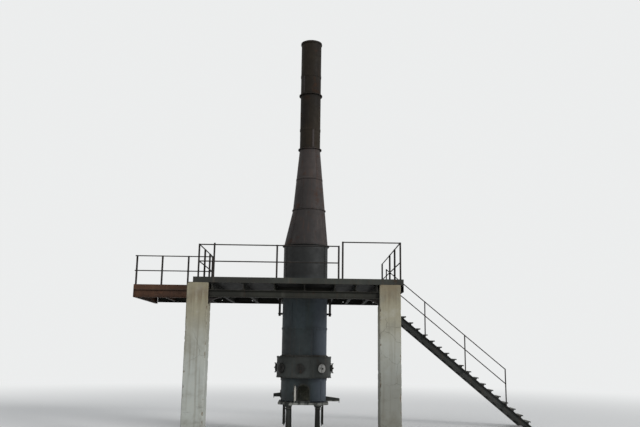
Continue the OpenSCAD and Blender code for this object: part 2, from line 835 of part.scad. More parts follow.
module wall_beam() {
    color("darkslategray") difference() {
        translate([0, wall_y, deck_bottom]) rotate([0, 0, -90])
            channel_y(joist_h, wall_beam_w, web_t, fl_t, walk_end + end_beam_w, right_edge);
        for (k = [0:wall_holes - 1])
            translate([wall_hole_x0() + k * wall_hole_pitch, wall_y - 40, deck_bottom - joist_h / 2])
                rotate([-90, 0, 0]) cylinder(r = wall_hole_r, h = 60);
    }
}
function wall_hole_x0() = platform_off - (wall_holes - 1) * wall_hole_pitch / 2;

// Deck plates laid side by side from y0 to y1
module plates(x0, x1, y0, y1, n) {
    step = (y1 - y0) / n;
    for (k = [0:n - 1])
        translate([x0, y0 + k * step, deck_bottom])
            cube([x1 - x0, step - (k < n - 1 ? plate_gap : 0), deck_t]);
}

module deck_left() {
    color("darkslategray") plates(left_edge, -trim_x - plate_gap / 2, front_y, wall_y, 5);
}

module deck_right() {
    color("darkslategray") plates(trim_x + plate_gap / 2, right_edge, front_y, wall_y, 5);
}

module deck_middle(y0, y1) {
    color("darkslategray") difference() {
        translate([plate_gap / 2 - trim_x, y0, deck_bottom])
            cube([2 * trim_x - plate_gap, y1 - y0, deck_t]);
        translate([0, 0, deck_bottom - e]) cylinder(r = hole_r, h = deck_t + 2 * e);
    }
}

module toe_plates() {
    color("darkslategray") {
        translate([left_edge + 160, front_y, deck_z]) cube([right_edge - left_edge - 160, toe_t, toe_h]);
        translate([rail_left_x - post_w / 2 - toe_t, front_y + toe_t + plate_gap, deck_z])
            cube([toe_t, walk_y - front_y - toe_t - plate_gap, toe_h]);
        translate([rail_right_x + post_w / 2, front_y + toe_t + plate_gap, deck_z])
            cube([toe_t, stair_y - front_y - 100 - toe_t, toe_h]);
    }
}

// Angle-iron post on a foot plate, with its heel towards the sides sx and sy
module post(x, y, z0, h, sx, sy) {
    translate([x, y, z0]) {
        translate([-post_w / 2, -post_w / 2, 0]) cube([post_w, post_w, post_foot_t]);
        translate([sx > 0 ? post_w / 2 - post_t : -post_w / 2, -post_w / 2, 0]) cube([post_t, post_w, h]);
        translate([-post_w / 2, sy > 0 ? post_w / 2 - post_t : -post_w / 2, 0]) cube([post_w, post_t, h]);
    }
}

module rail_x(x0, x1, y, z) {
    translate([x0, y, z]) rotate([0, 90, 0]) cylinder(r = rail_r, h = x1 - x0);
}

module rail_y(x, y0, y1, z) {
    translate([x, y0, z]) rotate([-90, 0, 0]) cylinder(r = rail_r, h = y1 - y0);
}

module railing_front() {
    color("black") {
        for (x = front_posts) post(x, rail_front_y, deck_z, rail_h, -1, -1);
        for (z = [rail_h, rail_mid])
            rail_x(front_posts[0] - post_w / 2, front_posts[3] + post_w / 2, rail_front_y,
                   deck_z + z - (z == rail_h ? rail_r : 0));
        translate([front_posts[1], rail_front_y, deck_z + rail_h + 12]) sphere(r = 26, $fn = 24);
    }
}

module railing_gate() {
    color("black") {
        post(gate_post, rail_front_y, deck_z, rail_high, -1, -1);
        post(rail_right_x, rail_front_y, deck_z, rail_high, 1, -1);
        rail_x(gate_post - post_w / 2, rail_right_x + post_w / 2, rail_front_y,
               deck_z + rail_high - rail_r);
    }
}

module railing_left() {
    y0 = rail_front_y + post_w / 2;
    y1 = walk_y + post_w / 2;
    color("black") {
        for (d = left_posts) post(rail_left_x, front_y + d, deck_z, rail_h, -1, 1);
        post(rail_left_x, y1, deck_z, rail_h, -1, -1);
        for (z = [rail_h - rail_r, rail_mid]) rail_y(rail_left_x, y0, y1, deck_z + z);
    }
}

module railing_right() {
    y0 = rail_front_y + post_w / 2;
    y1 = stair_y - 130;
    color("black") {
        for (d = right_posts) post(rail_right_x, front_y + d, deck_z, rail_high, 1, 1);
        post(rail_right_x, y1, deck_z, rail_high, 1, 1);
        for (z = [rail_high - rail_r, rail_mid + 40]) rail_y(rail_right_x, y0, y1, deck_z + z);
    }
}

module walkway_beam() {
    color("brown") translate([0, walk_y + walk_beam_w / 2, deck_bottom])
        i_beam_x(walk_beam_h, walk_beam_w, 9, 13, walk_end + end_beam_w, left_edge);
}

module walkway_joists() {
    color("brown") translate([0, 0, deck_bottom]) for (k = [1, 2])
        translate([left_edge - k * walk_l / 3, 0, 0])
            i_beam_y(walk_joist_h, walk_joist_w, web_t, fl_t, walk_y + walk_beam_w, joist_end_y);
}

module walkway_end_beam() {
    color("brown") difference() {
        translate([walk_end, 0, deck_bottom])
            channel_y(walk_beam_h, end_beam_w, web_t, fl_t, walk_y, wall_y);
        for (k = [0:3])
            translate([walk_end - e, (walk_y + wall_y) / 2 + (k - 1.5) * end_hole_pitch,
                       deck_bottom - walk_beam_h / 2])
                rotate([0, 90, 0]) cylinder(r = wall_hole_r, h = 60);
    }
}

module walkway_deck() {
    color("darkslategray") plates(walk_end, left_edge - plate_gap, walk_y, wall_y, 3);
}

module walkway_toe_plate() {
    color("brown") translate([walk_end, walk_y, deck_z])
        cube([rail_left_x - post_w / 2 - toe_t - walk_end, toe_t, toe_h]);
}

module walkway_railing() {
    y = walk_y + toe_t + post_w / 2;
    color("black") {
        for (x = walk_posts) post(x, y, deck_z, rail_h, 1, -1);
        for (z = [rail_h - rail_r, rail_mid])
            rail_x(walk_end, rail_left_x - post_w / 2 - toe_t, y, deck_z + z);
    }
}

// Nosing line of the stair: height at a distance x from the platform's edge
function nose(x) = deck_z - x * rise / going;

// Plate of thickness t, cut to an XZ outline, with its front face at y
module upright(y, t) {
    translate([0, y + t, 0]) rotate([90, 0, 0]) linear_extrude(height = t) children();
}

// Sloping strip of the stair between two depths under the nosing line
module slope_strip(a, b) {
    slope = going / rise;
    translate([stair_x, 0]) polygon([
        [0, deck_z - a], [(deck_z - a) * slope, 0], [(deck_z - b) * slope, 0], [0, deck_z - b]]);
}

// A stringer is a channel with its back towards the treads, hung from the side beam by an end plate
module stair_stringer(y, back) {
    low = stringer_drop + stringer_h / cos(pitch);
    flange = fl_t / cos(pitch);
    color("darkslategray") {
        upright(back ? y : y + stringer_w - web_t, web_t) slope_strip(stringer_drop, low);
        upright(y, stringer_w) slope_strip(stringer_drop, stringer_drop + flange);
        upright(y, stringer_w) slope_strip(low - flange, low);
        translate([stair_x, y, deck_z - low]) cube([hanger_t, stringer_w, low - deck_t]);
    }
}

// Each tread is a pressed tray with an end plate against each stringer
module stair_treads() {
    y0 = stair_y + stringer_w;
    y1 = stair_y + stair_w - stringer_w;
    front = going + tread_nose;
    color("darkslategray") for (k = [1:treads])
        translate([stair_x + (k - 1) * going, 0, deck_z - k * rise]) {
        upright(y0, y1 - y0) polygon([
            [tread_back, 0], [front, 0], [front, -tread_lip], [front - tread_t, -tread_lip],
            [front - tread_t, -tread_t], [tread_back + tread_t, -tread_t],
            [tread_back + tread_t, -tread_lip], [tread_back, -tread_lip]]);
        for (y = [y0, y1 - tread_t]) upright(y, tread_t) polygon([
            [20, -tread_t / 2], [going - 20, -tread_t / 2],
            [going - 60, -tread_end], [20, -tread_end]]);
    }
}

module stair_railing() {
    y = stair_y - rail_r - 6;
    color("black") {
        for (x = stair_posts) {
            low = stringer_drop + stair_post_low;
            translate([stair_x + x - stair_post_w / 2, y - 10, nose(x) - low])
                cube([stair_post_w, 12, stair_rail_h + low]);
            translate([stair_x + x - stair_post_w / 2, y, nose(x) - low])
                cube([stair_post_w, rail_r + 6, 40]);
        }
        for (h = [stair_rail_h, rail_mid])
            for (k = [0:len(stair_posts) - 2]) {
                a = stair_posts[k];
                b = stair_posts[k + 1];
                l = (b - a) / cos(pitch);
                translate([stair_x + a, y, nose(a) + h - rail_r]) rotate([0, 90 + pitch, 0])
                    translate([0, 0, -20]) cylinder(r = rail_r, h = l + 40);
            }
    }
}

leg_at(-1, -1);  // leg_front_left
leg_at(1, -1);  // leg_front_right
leg_at(-1, 1);  // leg_rear_left
leg_at(1, 1);  // leg_rear_right
bottom_plate();
drop_door(-1);  // drop_door_left
drop_door(1);  // drop_door_right
well_shell();
well_lining();
tap_block();
slag_block();
working_frame();
working_door();
tap_spout();
slag_spout();
wind_box();
tuyere_covers();
blast_inlet();
shaft_shell();
shaft_lining();
charging_shell();
charging_lining();
charging_frame();
hood();
hood_neck();
stack_part(neck_top, stack_mid, false);  // stack_lower
stack_part(stack_mid, stack_top, true);  // stack_upper
steady_bar(-1);  // steady_bar_left
steady_bar(1);  // steady_bar_right
pillar(left_edge);  // pillar_left
pillar(right_inner);  // pillar_right
girder_seats();
front_girder();
joists();
trimmers();
side_beam_left();
side_beam_right();
wall_beam();
deck_left();
deck_right();
deck_middle(front_y, -plate_gap / 2);  // deck_front
deck_middle(plate_gap / 2, wall_y);  // deck_rear
toe_plates();
railing_front();
railing_gate();
railing_left();
railing_right();
walkway_beam();
walkway_joists();
walkway_end_beam();
walkway_deck();
walkway_toe_plate();
walkway_railing();
stair_stringer(stair_y, false);  // stair_stringer_front
stair_stringer(stair_y + stair_w - stringer_w, true);  // stair_stringer_rear
stair_treads();
stair_railing();
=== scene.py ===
"""The finish of a cupola furnace and its charging platform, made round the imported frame.

Metres, +Z up, the front faces -Y. Every mesh keeps its place in its vertices, so that a
material's object coordinates are the frame's own.
"""

import json
import math
import random

import bmesh
import bpy
from mathutils import Matrix, Vector, noise


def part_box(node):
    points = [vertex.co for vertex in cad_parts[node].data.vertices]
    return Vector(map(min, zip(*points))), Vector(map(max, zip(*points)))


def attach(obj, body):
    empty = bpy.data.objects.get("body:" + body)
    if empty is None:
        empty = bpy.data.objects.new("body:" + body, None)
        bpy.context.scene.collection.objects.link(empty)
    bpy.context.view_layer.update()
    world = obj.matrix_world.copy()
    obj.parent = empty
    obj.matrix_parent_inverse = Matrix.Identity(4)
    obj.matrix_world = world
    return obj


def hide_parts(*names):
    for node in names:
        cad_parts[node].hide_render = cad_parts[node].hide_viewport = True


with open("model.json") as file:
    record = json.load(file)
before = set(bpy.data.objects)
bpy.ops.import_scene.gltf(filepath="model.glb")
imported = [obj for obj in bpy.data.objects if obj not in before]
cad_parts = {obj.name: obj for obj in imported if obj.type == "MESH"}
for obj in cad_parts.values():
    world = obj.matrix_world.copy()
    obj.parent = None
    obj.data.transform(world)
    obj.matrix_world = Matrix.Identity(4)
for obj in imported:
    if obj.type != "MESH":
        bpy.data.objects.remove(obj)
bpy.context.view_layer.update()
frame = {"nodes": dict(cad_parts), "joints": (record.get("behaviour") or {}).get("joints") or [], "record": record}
NODES = frame["nodes"]

# The camera that took the photograph, with its focal length in pixels of the picture's width
PHOTO_W = 640
FOCAL_PX = 700.0
EYE = (0.18, -22.0, 2.55)
TILT = math.radians(10.965)
TURN = math.radians(0.655)
ROLL = math.radians(0.78)
SENSOR = 36.0

# Directions, and the place of a mesh that is made where it stands
UP = (0, 0, 1)
DOWN = (0, 0, -1)
FRONT = (0, -1, 0)
REAR = (0, 1, 0)
STILL = Matrix.Identity(4)

# Tints that many finishes share, as they look on a screen, and the background's colour
# This soot tint also paints shade: in corners, on faces that look down and on the left of the well
SOOT_AND_SHADE = (20, 20, 19)
DUST = (104, 102, 95)
RUST_DARK = (46, 34, 28)
BLUE_GREY = (74, 82, 92)
PALE = (0.84, 0.85, 0.85, 1)
FINISHES = {}


def low(node):
    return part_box(node)[0]


def high(node):
    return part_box(node)[1]


# Places that the frame gives
FLANGE_W = 0.05
FLANGE_T = 0.012
SHELL_R = high("well_shell").x - FLANGE_W
STRAP_R = high("shaft_shell").x
BAND_R = SHELL_R + 0.014
BORE_R = low("tap_block").x
PLATE_TOP = low("well_shell").z
WIND_LOW = low("wind_box").z
WIND_TOP = high("wind_box").z
WIND_R = SHELL_R + 0.14
SEAM_HIGH = low("charging_shell").z
SEAM_MID = (WIND_TOP + SEAM_HIGH) / 2
SHELL_TOP = high("charging_shell").z
HOOD_TOP = high("hood").z
NECK_TOP = high("hood_neck").z
STACK_MID = high("stack_lower").z
STACK_TOP = high("stack_upper").z
STACK_X = (low("stack_lower").x + high("stack_lower").x) / 2
STACK_R = high("stack_lower").x - STACK_X - FLANGE_W
NECK_R = high("hood_neck").x - STACK_X - 0.025
DECK_Z = high("deck_front").z
DECK_LOW = low("deck_front").z
JOIST_LOW = low("joists").z
GIRDER_Y = (low("front_girder").y + high("front_girder").y) / 2

# Sizes that only the finish needs
COVER_TURN = math.radians(-6.5)
COVER_STEP = math.radians(45)
COVER_FACE = WIND_R + 0.048
DOOR_OPEN = math.radians(97)
MOUTH_HALF = 0.165
MOUTH_FRAME = 0.035
MOUTH_FOOT = low("working_frame").z + MOUTH_FRAME
MOUTH_SPRING = high("working_frame").z - MOUTH_HALF - MOUTH_FRAME
BLOCK_HALF = 0.11
COURSE = 0.0752
BRICKS_ROUND = 24
DECK_CHEQUER = 0.042
JOIST_XS = (-2.582, -1.716, -0.85, 0.85, 1.4415, 2.033)
TRIMMER_Y = 0.9
WEB_T = 0.008
BEAM_FLANGE_T = 0.011
CLEAT_T = 0.008
RISERS = 21
GOING = 0.25


def away(angle):
    """The level direction at an angle from the front, towards the right."""
    return Vector((math.sin(angle), -math.cos(angle), 0))


def around(angle, radius, z, middle_x=0.0):
    """A point round an upright axis."""
    return away(angle) * radius + Vector((middle_x, 0, z))


def colour(tint):
    """A tint given as it looks on a screen, from 0 to 255, as Blender's own numbers."""
    def linear(value):
        value /= 255
        return value / 12.92 if value <= 0.04045 else ((value + 0.055) / 1.055) ** 2.4
    return tuple(linear(value) for value in tint) + (1.0,)


class Nodes:
    """A tree of shader nodes. Most calls add a node and give the socket that later calls take."""

    def __init__(self, tree):
        self.tree = tree

    def feed(self, socket, value):
        if isinstance(value, bpy.types.NodeSocket):
            self.tree.links.new(value, socket)
        else:
            socket.default_value = value

    def node(self, kind, *values, **named):
        """The values feed the new node's sockets in order. A named value with a capital feeds
        the socket of that name, with _ for a space. Any other is a setting of the node."""
        made = self.tree.nodes.new("ShaderNode" + kind)
        for key, value in named.items():
            if key[0].islower():
                setattr(made, key, value)
        for socket, value in zip(made.inputs, values):
            self.feed(socket, value)
        for key, value in named.items():
            if key[0].isupper():
                self.feed(made.inputs[key.replace("_", " ")], value)
        return made

    def math(self, operation, *values):
        return self.node("Math", *values, operation=operation).outputs[0]

    def times(self, *values):
        total = values[0]
        for value in values[1:]:
            total = self.math("MULTIPLY", total, value)
        return total

    def add(self, base, value, factor=1.0):
        """The base plus the value times the factor."""
        return self.math("MULTIPLY_ADD", value, factor, base)

    def seen(self):
        """1 for what the camera sees itself, in a gloss or through glass, and 0 for light."""
        path = self.node("LightPath").outputs
        straight = self.math("MAXIMUM", path["Is Camera Ray"], path["Is Transmission Ray"])
        return self.math("MAXIMUM", straight, path["Is Glossy Ray"])


class Finish(Nodes):
    """A material, with the tint that its coats have built up so far and any relief under them."""

    def __init__(self, name, tint=None):
        self.name = name
        self.material = bpy.data.materials.new("finish_" + name)
        self.material.use_nodes = True
        super().__init__(self.material.node_tree)
        self.shader = self.tree.nodes["Principled BSDF"]
        coordinates = self.node("TexCoord").outputs
        self.place = coordinates["Object"]
        self.x, self.y, self.z = self.node("SeparateXYZ", self.place).outputs
        self.up = self.node("SeparateXYZ", coordinates["Normal"]).outputs["Z"]
        self.tint = tint
        self.relief = None

    def noise(self, scale, detail=4.0, rough=0.55, stretch=None):
        """Soft noise. stretch scales the axes first, to draw the pattern out along one of them."""
        place = self.place
        if stretch:
            place = self.node("VectorMath", place, stretch, operation="MULTIPLY").outputs[0]
        made = self.node("TexNoise", Vector=place, Scale=scale, Detail=detail, Roughness=rough)
        return made.outputs["Fac"]

    def step(self, value, low, high):
        """0 under low, 1 over high and smooth between. With low over high it runs the other way."""
        falls = low > high
        made = self.node("MapRange", Value=value, From_Min=min(low, high), From_Max=max(low, high),
                         To_Min=float(falls), To_Max=float(not falls), interpolation_type="SMOOTHSTEP")
        return made.outputs["Result"]

    def spots(self, low, high, *noise):
        """Spots of noise: 0 where it is under low, 1 where it is over high."""
        return self.step(self.noise(*noise), low, high)

    def cracks(self, scale, width, wander):
        """1 in a net of thin, ragged cracks, 0 between them."""
        warp = self.node("TexNoise", Vector=self.place, Scale=2 * scale, Detail=9.0, Roughness=0.62)
        sway = (wander / scale, wander / scale, wander / scale)
        moved = self.node("VectorMath", warp.outputs["Color"], sway, self.place, operation="MULTIPLY_ADD")
        net = self.node("TexVoronoi", Vector=moved.outputs[0], Scale=scale, feature="DISTANCE_TO_EDGE")
        return self.step(net.outputs["Distance"], width, width * 0.2)

    def worn_edges(self, radius):
        """1 along edges that stand out, 0 on flat ground."""
        rounded = self.node("Bevel", Radius=radius, samples=4).outputs[0]
        straight = self.node("NewGeometry").outputs["Normal"]
        dot = self.node("VectorMath", rounded, straight, operation="DOT_PRODUCT")
        return self.step(dot.outputs["Value"], 0.985, 0.86)

    def corners(self, distance):
        """1 deep in corners, 0 in the open: the mask of painted shade in corners."""
        made = self.node("AmbientOcclusion", Distance=distance, samples=4)
        return self.step(made.outputs["AO"], 0.9, 0.35)

    def mix(self, share, first, second):
        """A blend of two tints, each a socket or a colour as it looks on a screen."""
        made = self.node("Mix", share, data_type="RGBA")
        for socket, tint in zip(made.inputs[6:8], (first, second)):
            self.feed(socket, colour(tint) if isinstance(tint, tuple) else tint)
        return made.outputs[2]

    def coat(self, tint, *shares):
        """Lays a tint over what is there, by the product of the shares."""
        self.tint = self.mix(self.times(*shares), self.tint, tint)

    def finish(self, rough, height, depth, shine=0.5):
        bump = self.node("Bump", Strength=1.0, Distance=depth, Height=height)
        for key, value in (("Base Color", self.tint), ("Roughness", rough),
                           ("Specular IOR Level", shine), ("Normal", bump.outputs[0])):
            self.feed(self.shader.inputs[key], value)
        FINISHES[self.name] = self.material


def make_camera():
    ahead = Vector((math.sin(TURN), math.cos(TURN), 0))
    across = Vector((ahead.y, -ahead.x, 0))
    up = Vector(UP)
    look = ahead * math.cos(TILT) + up * math.sin(TILT)
    top = up * math.cos(TILT) - ahead * math.sin(TILT)
    right = across * math.cos(ROLL) + top * math.sin(ROLL)
    over = top * math.cos(ROLL) - across * math.sin(ROLL)
    data = bpy.data.cameras.new("camera")
    data.sensor_width = SENSOR
    data.lens = SENSOR * FOCAL_PX / PHOTO_W
    data.clip_end = 400
    camera = bpy.data.objects.new("camera", data)
    matrix = Matrix((right, over, -look)).transposed().to_4x4()
    matrix.translation = Vector(EYE)
    camera.matrix_world = matrix
    bpy.context.scene.collection.objects.link(camera)
    bpy.context.scene.camera = camera


def make_light():
    """An even sky and two soft suns. The camera sees the pale background and not the sky."""
    world = bpy.data.worlds.new("sky")
    bpy.context.scene.world = world
    world.use_nodes = True
    s = Nodes(world.node_tree)
    sky = s.tree.nodes["Background"]
    s.feed(sky.inputs["Color"], (0.93, 0.96, 1.0, 1))
    s.feed(sky.inputs["Strength"], 0.52)
    blend = s.node("MixShader", s.seen(), sky.outputs[0], s.node("Background", PALE).outputs[0])
    s.feed(s.tree.nodes["World Output"].inputs["Surface"], blend.outputs[0])
    for name, strength, spread, towards in (
        ("key", 2.1, 18, (-0.8, 0.55, -0.32)), ("fill", 0.4, 40, (0.6, 0.6, -0.6)),
    ):
        data = bpy.data.lights.new(name, "SUN")
        data.energy = strength
        data.angle = math.radians(spread)
        lamp = bpy.data.objects.new(name, data)
        lamp.rotation_mode = "QUATERNION"
        lamp.rotation_quaternion = Vector(towards).to_track_quat("-Z", "Y")
        bpy.context.scene.collection.objects.link(lamp)


def make_floor():
    """A pale disc that fades into the background's tone far from the object."""
    radius, sides = 90.0, 64
    mesh = bpy.data.meshes.new("floor")
    ring = [around(2 * math.pi * k / sides, radius, 0) for k in range(sides)]
    mesh.from_pydata(ring, [], [list(range(sides))])
    floor = bpy.data.objects.new("floor", mesh)
    bpy.context.scene.collection.objects.link(floor)
    s = Finish("floor")
    s.feed(s.shader.inputs["Base Color"], (0.72, 0.72, 0.71, 1))
    s.feed(s.shader.inputs["Roughness"], 0.9)
    reach = s.node("VectorMath", s.place, operation="LENGTH").outputs["Value"]
    far = s.times(s.step(reach, 12.0, 34.0), s.seen())
    blend = s.node("MixShader", far, s.shader.outputs[0], s.node("Emission", PALE).outputs[0])
    s.feed(s.tree.nodes["Material Output"].inputs["Surface"], blend.outputs[0])
    mesh.materials.append(s.material)


def steel(name, base, second, rust, rust_share, runs=0.35, dust=0.35, shine=0.15, under=0.7,
          change=None):
    """Old painted or oiled steel: two tones, rust in patches and down the runs, dust on top, painted shade in
    corners and on faces that look down.

    change lays coats of its own on the finish, before the dust and the painted shade lie on it. under is how dark
    the painted shade on faces that look down is."""
    s = Finish(name, base)
    s.coat(second, s.spots(0.38, 0.62, 0.8, 3.0))
    mottle = s.noise(7.0, 6.0, 0.6)
    s.coat(second, s.step(mottle, 0.45, 0.7), 0.35)
    s.coat(rust, s.spots(0.52, 0.72, 1.0, 7.0, 0.6, (11.0, 11.0, 0.5)), runs)
    s.coat(DUST, s.spots(0.55, 0.75, 1.0, 5.0, 0.6, (6.3, 6.3, 0.33)), runs * 0.5)
    edge = 0.72 - 0.34 * rust_share
    rusty = s.spots(edge, edge + 0.15, 2.3, 10.0, 0.66)
    grain = s.noise(46.0, 5.0, 0.6)
    s.coat(s.mix(s.step(grain, 0.35, 0.65), RUST_DARK, rust), rusty, 0.85)
    if change:
        change(s)
    s.coat(rust, s.worn_edges(0.006), s.step(mottle, 0.35, 0.6), 0.5)
    # Painted shade in corners and between parts
    s.coat(SOOT_AND_SHADE, s.corners(0.10), 0.55)
    lying = s.times(s.step(s.up, 0.45, 0.9), s.spots(0.2, 0.6, 3.5, 6.0))
    s.coat(DUST, lying, dust)
    # Painted shade on faces that look down
    s.coat(SOOT_AND_SHADE, s.step(s.up, -0.4, -0.9), under)
    s.coat(RUST_DARK, s.spots(0.62, 0.7, 160.0, 3.0), 0.25)
    rough = s.add(s.add(0.41, rusty, 0.25), mottle, 0.5)
    height = s.add(s.times(mottle, 0.5), s.times(rusty, grain), 0.5)
    height = s.add(height, s.noise(1.7, 2.0), 1.6)
    if s.relief:
        height = s.add(height, s.relief)
    s.finish(s.add(rough, lying, 0.2), height, 0.004, shine)


def plate_tones(s):
    """Each rolled plate of the furnace shell has a tone of its own, with smoke and soot on some, bluish painted
    light on the right below the deck and painted shade on the left of the well.
    """
    course = s.math("GREATER_THAN", s.z, SEAM_MID)
    for seam in (WIND_TOP, SEAM_HIGH, SHELL_TOP, HOOD_TOP, NECK_TOP, STACK_MID):
        course = s.add(course, s.math("GREATER_THAN", s.z, seam))
    turn = s.math("ARCTAN2", s.y, s.x)
    sector = s.math("FLOOR", s.add(s.times(course, 0.37), turn, 0.48))
    cell = s.node("CombineXYZ", sector, course).outputs[0]
    chance = s.node("TexWhiteNoise", Vector=cell, noise_dimensions="2D").outputs["Value"]
    s.coat(SOOT_AND_SHADE, s.step(chance, 0.45, 0.1), 0.25)
    s.coat(BLUE_GREY, s.step(chance, 0.55, 0.95), 0.2)
    # Smoke above the deck, and bluish painted light on the right below it
    s.coat(SOOT_AND_SHADE, s.step(s.z, DECK_LOW, DECK_Z + 0.5), s.step(s.z, SHELL_TOP + 1, SHELL_TOP), 0.9)
    s.coat(BLUE_GREY, s.step(s.x, 0.1, 0.5), s.step(s.z, DECK_LOW, DECK_LOW - 0.1), 0.7)
    # Soot over the working opening, and painted shade on the left of the well with a little soot by the slag spout
    mouth_top = (0, -SHELL_R, high("working_frame").z + 0.04)
    reach = s.node("VectorMath", s.place, mouth_top, operation="DISTANCE").outputs["Value"]
    s.coat(SOOT_AND_SHADE, s.step(s.add(reach, s.noise(4.0, 5.0), 0.3), 0.5, 0.25), 0.6)
    s.coat(SOOT_AND_SHADE, s.step(s.x, 0.1, -0.55), s.step(s.z, WIND_TOP, WIND_LOW - 0.1), 0.25)


def ash_on_plate(s):
    """Pale ash and lime have run down over the bottom plate's edge."""
    spilt = s.spots(0.4, 0.6, 6.0, 7.0, 0.6, (1.0, 1.0, 0.35))
    near = s.times(s.step(s.z, PLATE_TOP - 0.13, PLATE_TOP - 0.05), s.step(s.z, PLATE_TOP + 0.06, PLATE_TOP))
    s.coat((150, 151, 144), spilt, near, 0.85)


def painted_cover_highlight(s):
    """The face of the cover at the front right gets pale patches: a painted highlight."""
    side = away(COVER_TURN + COVER_STEP)
    reach = s.add(s.times(s.y, side.y), s.x, side.x)
    s.coat((186, 185, 180), s.step(reach, WIND_R - 0.02, WIND_R + 0.01), s.spots(0.25, 0.5, 9.0, 5.0), 0.85)


def chequer(s, pitch):
    """Raised bars in alternate directions, 1 on top of a bar and 0 beside it."""
    u = s.math("DIVIDE", s.add(s.x, s.y), pitch)
    v = s.math("DIVIDE", s.add(s.x, s.y, -1.0), pitch)
    whole = s.add(s.math("FLOOR", u), s.math("FLOOR", v))
    odd = s.math("GREATER_THAN", s.math("FRACT", s.times(whole, 0.5)), 0.25)
    u = s.add(-0.5, s.math("FRACT", u))
    v = s.add(-0.5, s.math("FRACT", v))
    skew = s.add(v, u, -1.0)
    along = s.math("DIVIDE", s.add(u, odd, skew), 0.44)
    across = s.math("DIVIDE", s.add(v, s.times(odd, skew), -1.0), 0.14)
    return s.step(s.add(s.times(along, along), across, across), 1.0, 0.5)


def plate_joint(s):
    """1 in the narrow joints of the deck's plates over the joists, 0 elsewhere."""
    joints = []
    for side, xs in ((-1.0, JOIST_XS[2::-1]), (1.0, JOIST_XS[3:])):
        count = s.math("DIVIDE", s.add(s.x, -xs[0]), xs[1] - xs[0])
        off = s.math("ABSOLUTE", s.add(count, s.math("ROUND", count), -1.0))
        here = s.math("GREATER_THAN", s.times(s.x, side), 0.5)
        joints.append(s.times(s.step(off, 0.0045, 0.002), here))
    return s.math("MAXIMUM", *joints)


def deck_wear(s):
    """Chequer plate: bright where it is trodden, black round the furnace, dark in its joints."""
    on_top = s.step(s.up, 0.8, 0.95)
    bars = s.times(chequer(s, DECK_CHEQUER), on_top)
    joints = s.times(plate_joint(s), on_top)
    reach = s.math("SQRT", s.add(s.times(s.x, s.x), s.y, s.y))
    blots = s.noise(1.6, 6.0, 0.6)
    s.coat(SOOT_AND_SHADE, s.step(s.add(reach, blots, 1.2), 2.5, 1.3), on_top, 0.75)
    path = s.times(s.step(s.y, 0.7, 1.7), s.step(s.y, 3.7, 2.8), s.step(s.x, -1.2, 0.3))
    trodden = s.times(path, s.step(blots, 0.3, 0.6), on_top)
    s.coat((120, 118, 110), trodden, 0.3)
    s.coat((138, 136, 128), bars, s.add(0.25, trodden, 0.5))
    s.coat(SOOT_AND_SHADE, joints, 0.9)
    s.relief = s.add(s.times(bars, 0.35), joints, -0.9)


def worn_treads(s):
    """The treads' tops are trodden to pale bare metal."""
    s.coat((150, 150, 144), s.step(s.up, 0.8, 0.95), s.spots(0.35, 0.6, 5.0, 6.0), 0.7)


def plastered(name):
    """Lime plaster: darker and warmer towards the top, paler below, with runs, hair cracks and bare chips, and
    painted shade in its corners.
    """
    s = Finish(name, (160, 163, 157))
    broad = s.noise(0.9, 4.0)
    clouds = s.noise(2.1, 8.0, 0.6)
    falls = s.noise(1.0, 7.0, 0.65, (9.0, 9.0, 0.35))
    wet = s.step(falls, 0.5, 0.75)
    # Darker and warmer towards the top
    s.coat((140, 134, 113), s.step(s.add(s.z, broad, 1.4), 2.4, 4.9))
    s.coat((124, 122, 110), s.step(clouds, 0.45, 0.7), 0.55)
    s.coat((166, 165, 156), s.step(clouds, 0.48, 0.3), 0.4)
    s.coat((104, 98, 82), wet, 0.45)
    # Rust stains under the girder, damp at the foot, scuffs, and the right pillar darker on its lower part
    s.coat((92, 76, 56), s.step(s.add(s.z, falls, 1.1), 4.25, 4.75), s.step(broad, 0.35, 0.6), 0.6)
    s.coat((104, 100, 90), s.step(s.add(s.z, clouds, -0.9), 0.35, -0.25), 0.5)
    s.coat((86, 84, 78), s.spots(0.58, 0.68, 1.0, 6.0, 0.6, (2.2, 2.2, 7.0)), s.step(s.z, 1.9, 0.7), 0.4)
    s.coat((90, 87, 76), s.step(s.x, -1.0, 1.0), s.step(s.add(s.z, clouds, 1.6), 3.8, 1.9), 0.6)
    crack = s.times(s.cracks(1.3, 0.007, 0.3), s.spots(0.5, 0.62, 0.7, 2.0))
    s.coat((62, 58, 50), crack, 0.5)
    # Where plaster is lost its coarse under coat shows, and deeper down the brick
    chip = s.node("Attribute", attribute_name="chip").outputs["Fac"]
    bare = s.step(chip, 0.0035, 0.008)
    brick = s.mix(s.spots(0.4, 0.6, 24.0, 4.0), (112, 84, 66), (92, 70, 58))
    s.coat(s.mix(s.step(chip, 0.017, 0.024), (116, 108, 94), brick), bare, 0.9)
    # Painted shade in the pillars' corners, where other parts come close
    s.coat((60, 56, 50), s.corners(0.12), 0.5)
    height = s.add(s.times(clouds, 0.8), s.noise(85.0, 4.0, 0.6), s.add(0.22, bare, 0.5))
    s.finish(s.add(0.9, wet, -0.12), s.add(height, crack, -0.5), 0.005, 0.25)


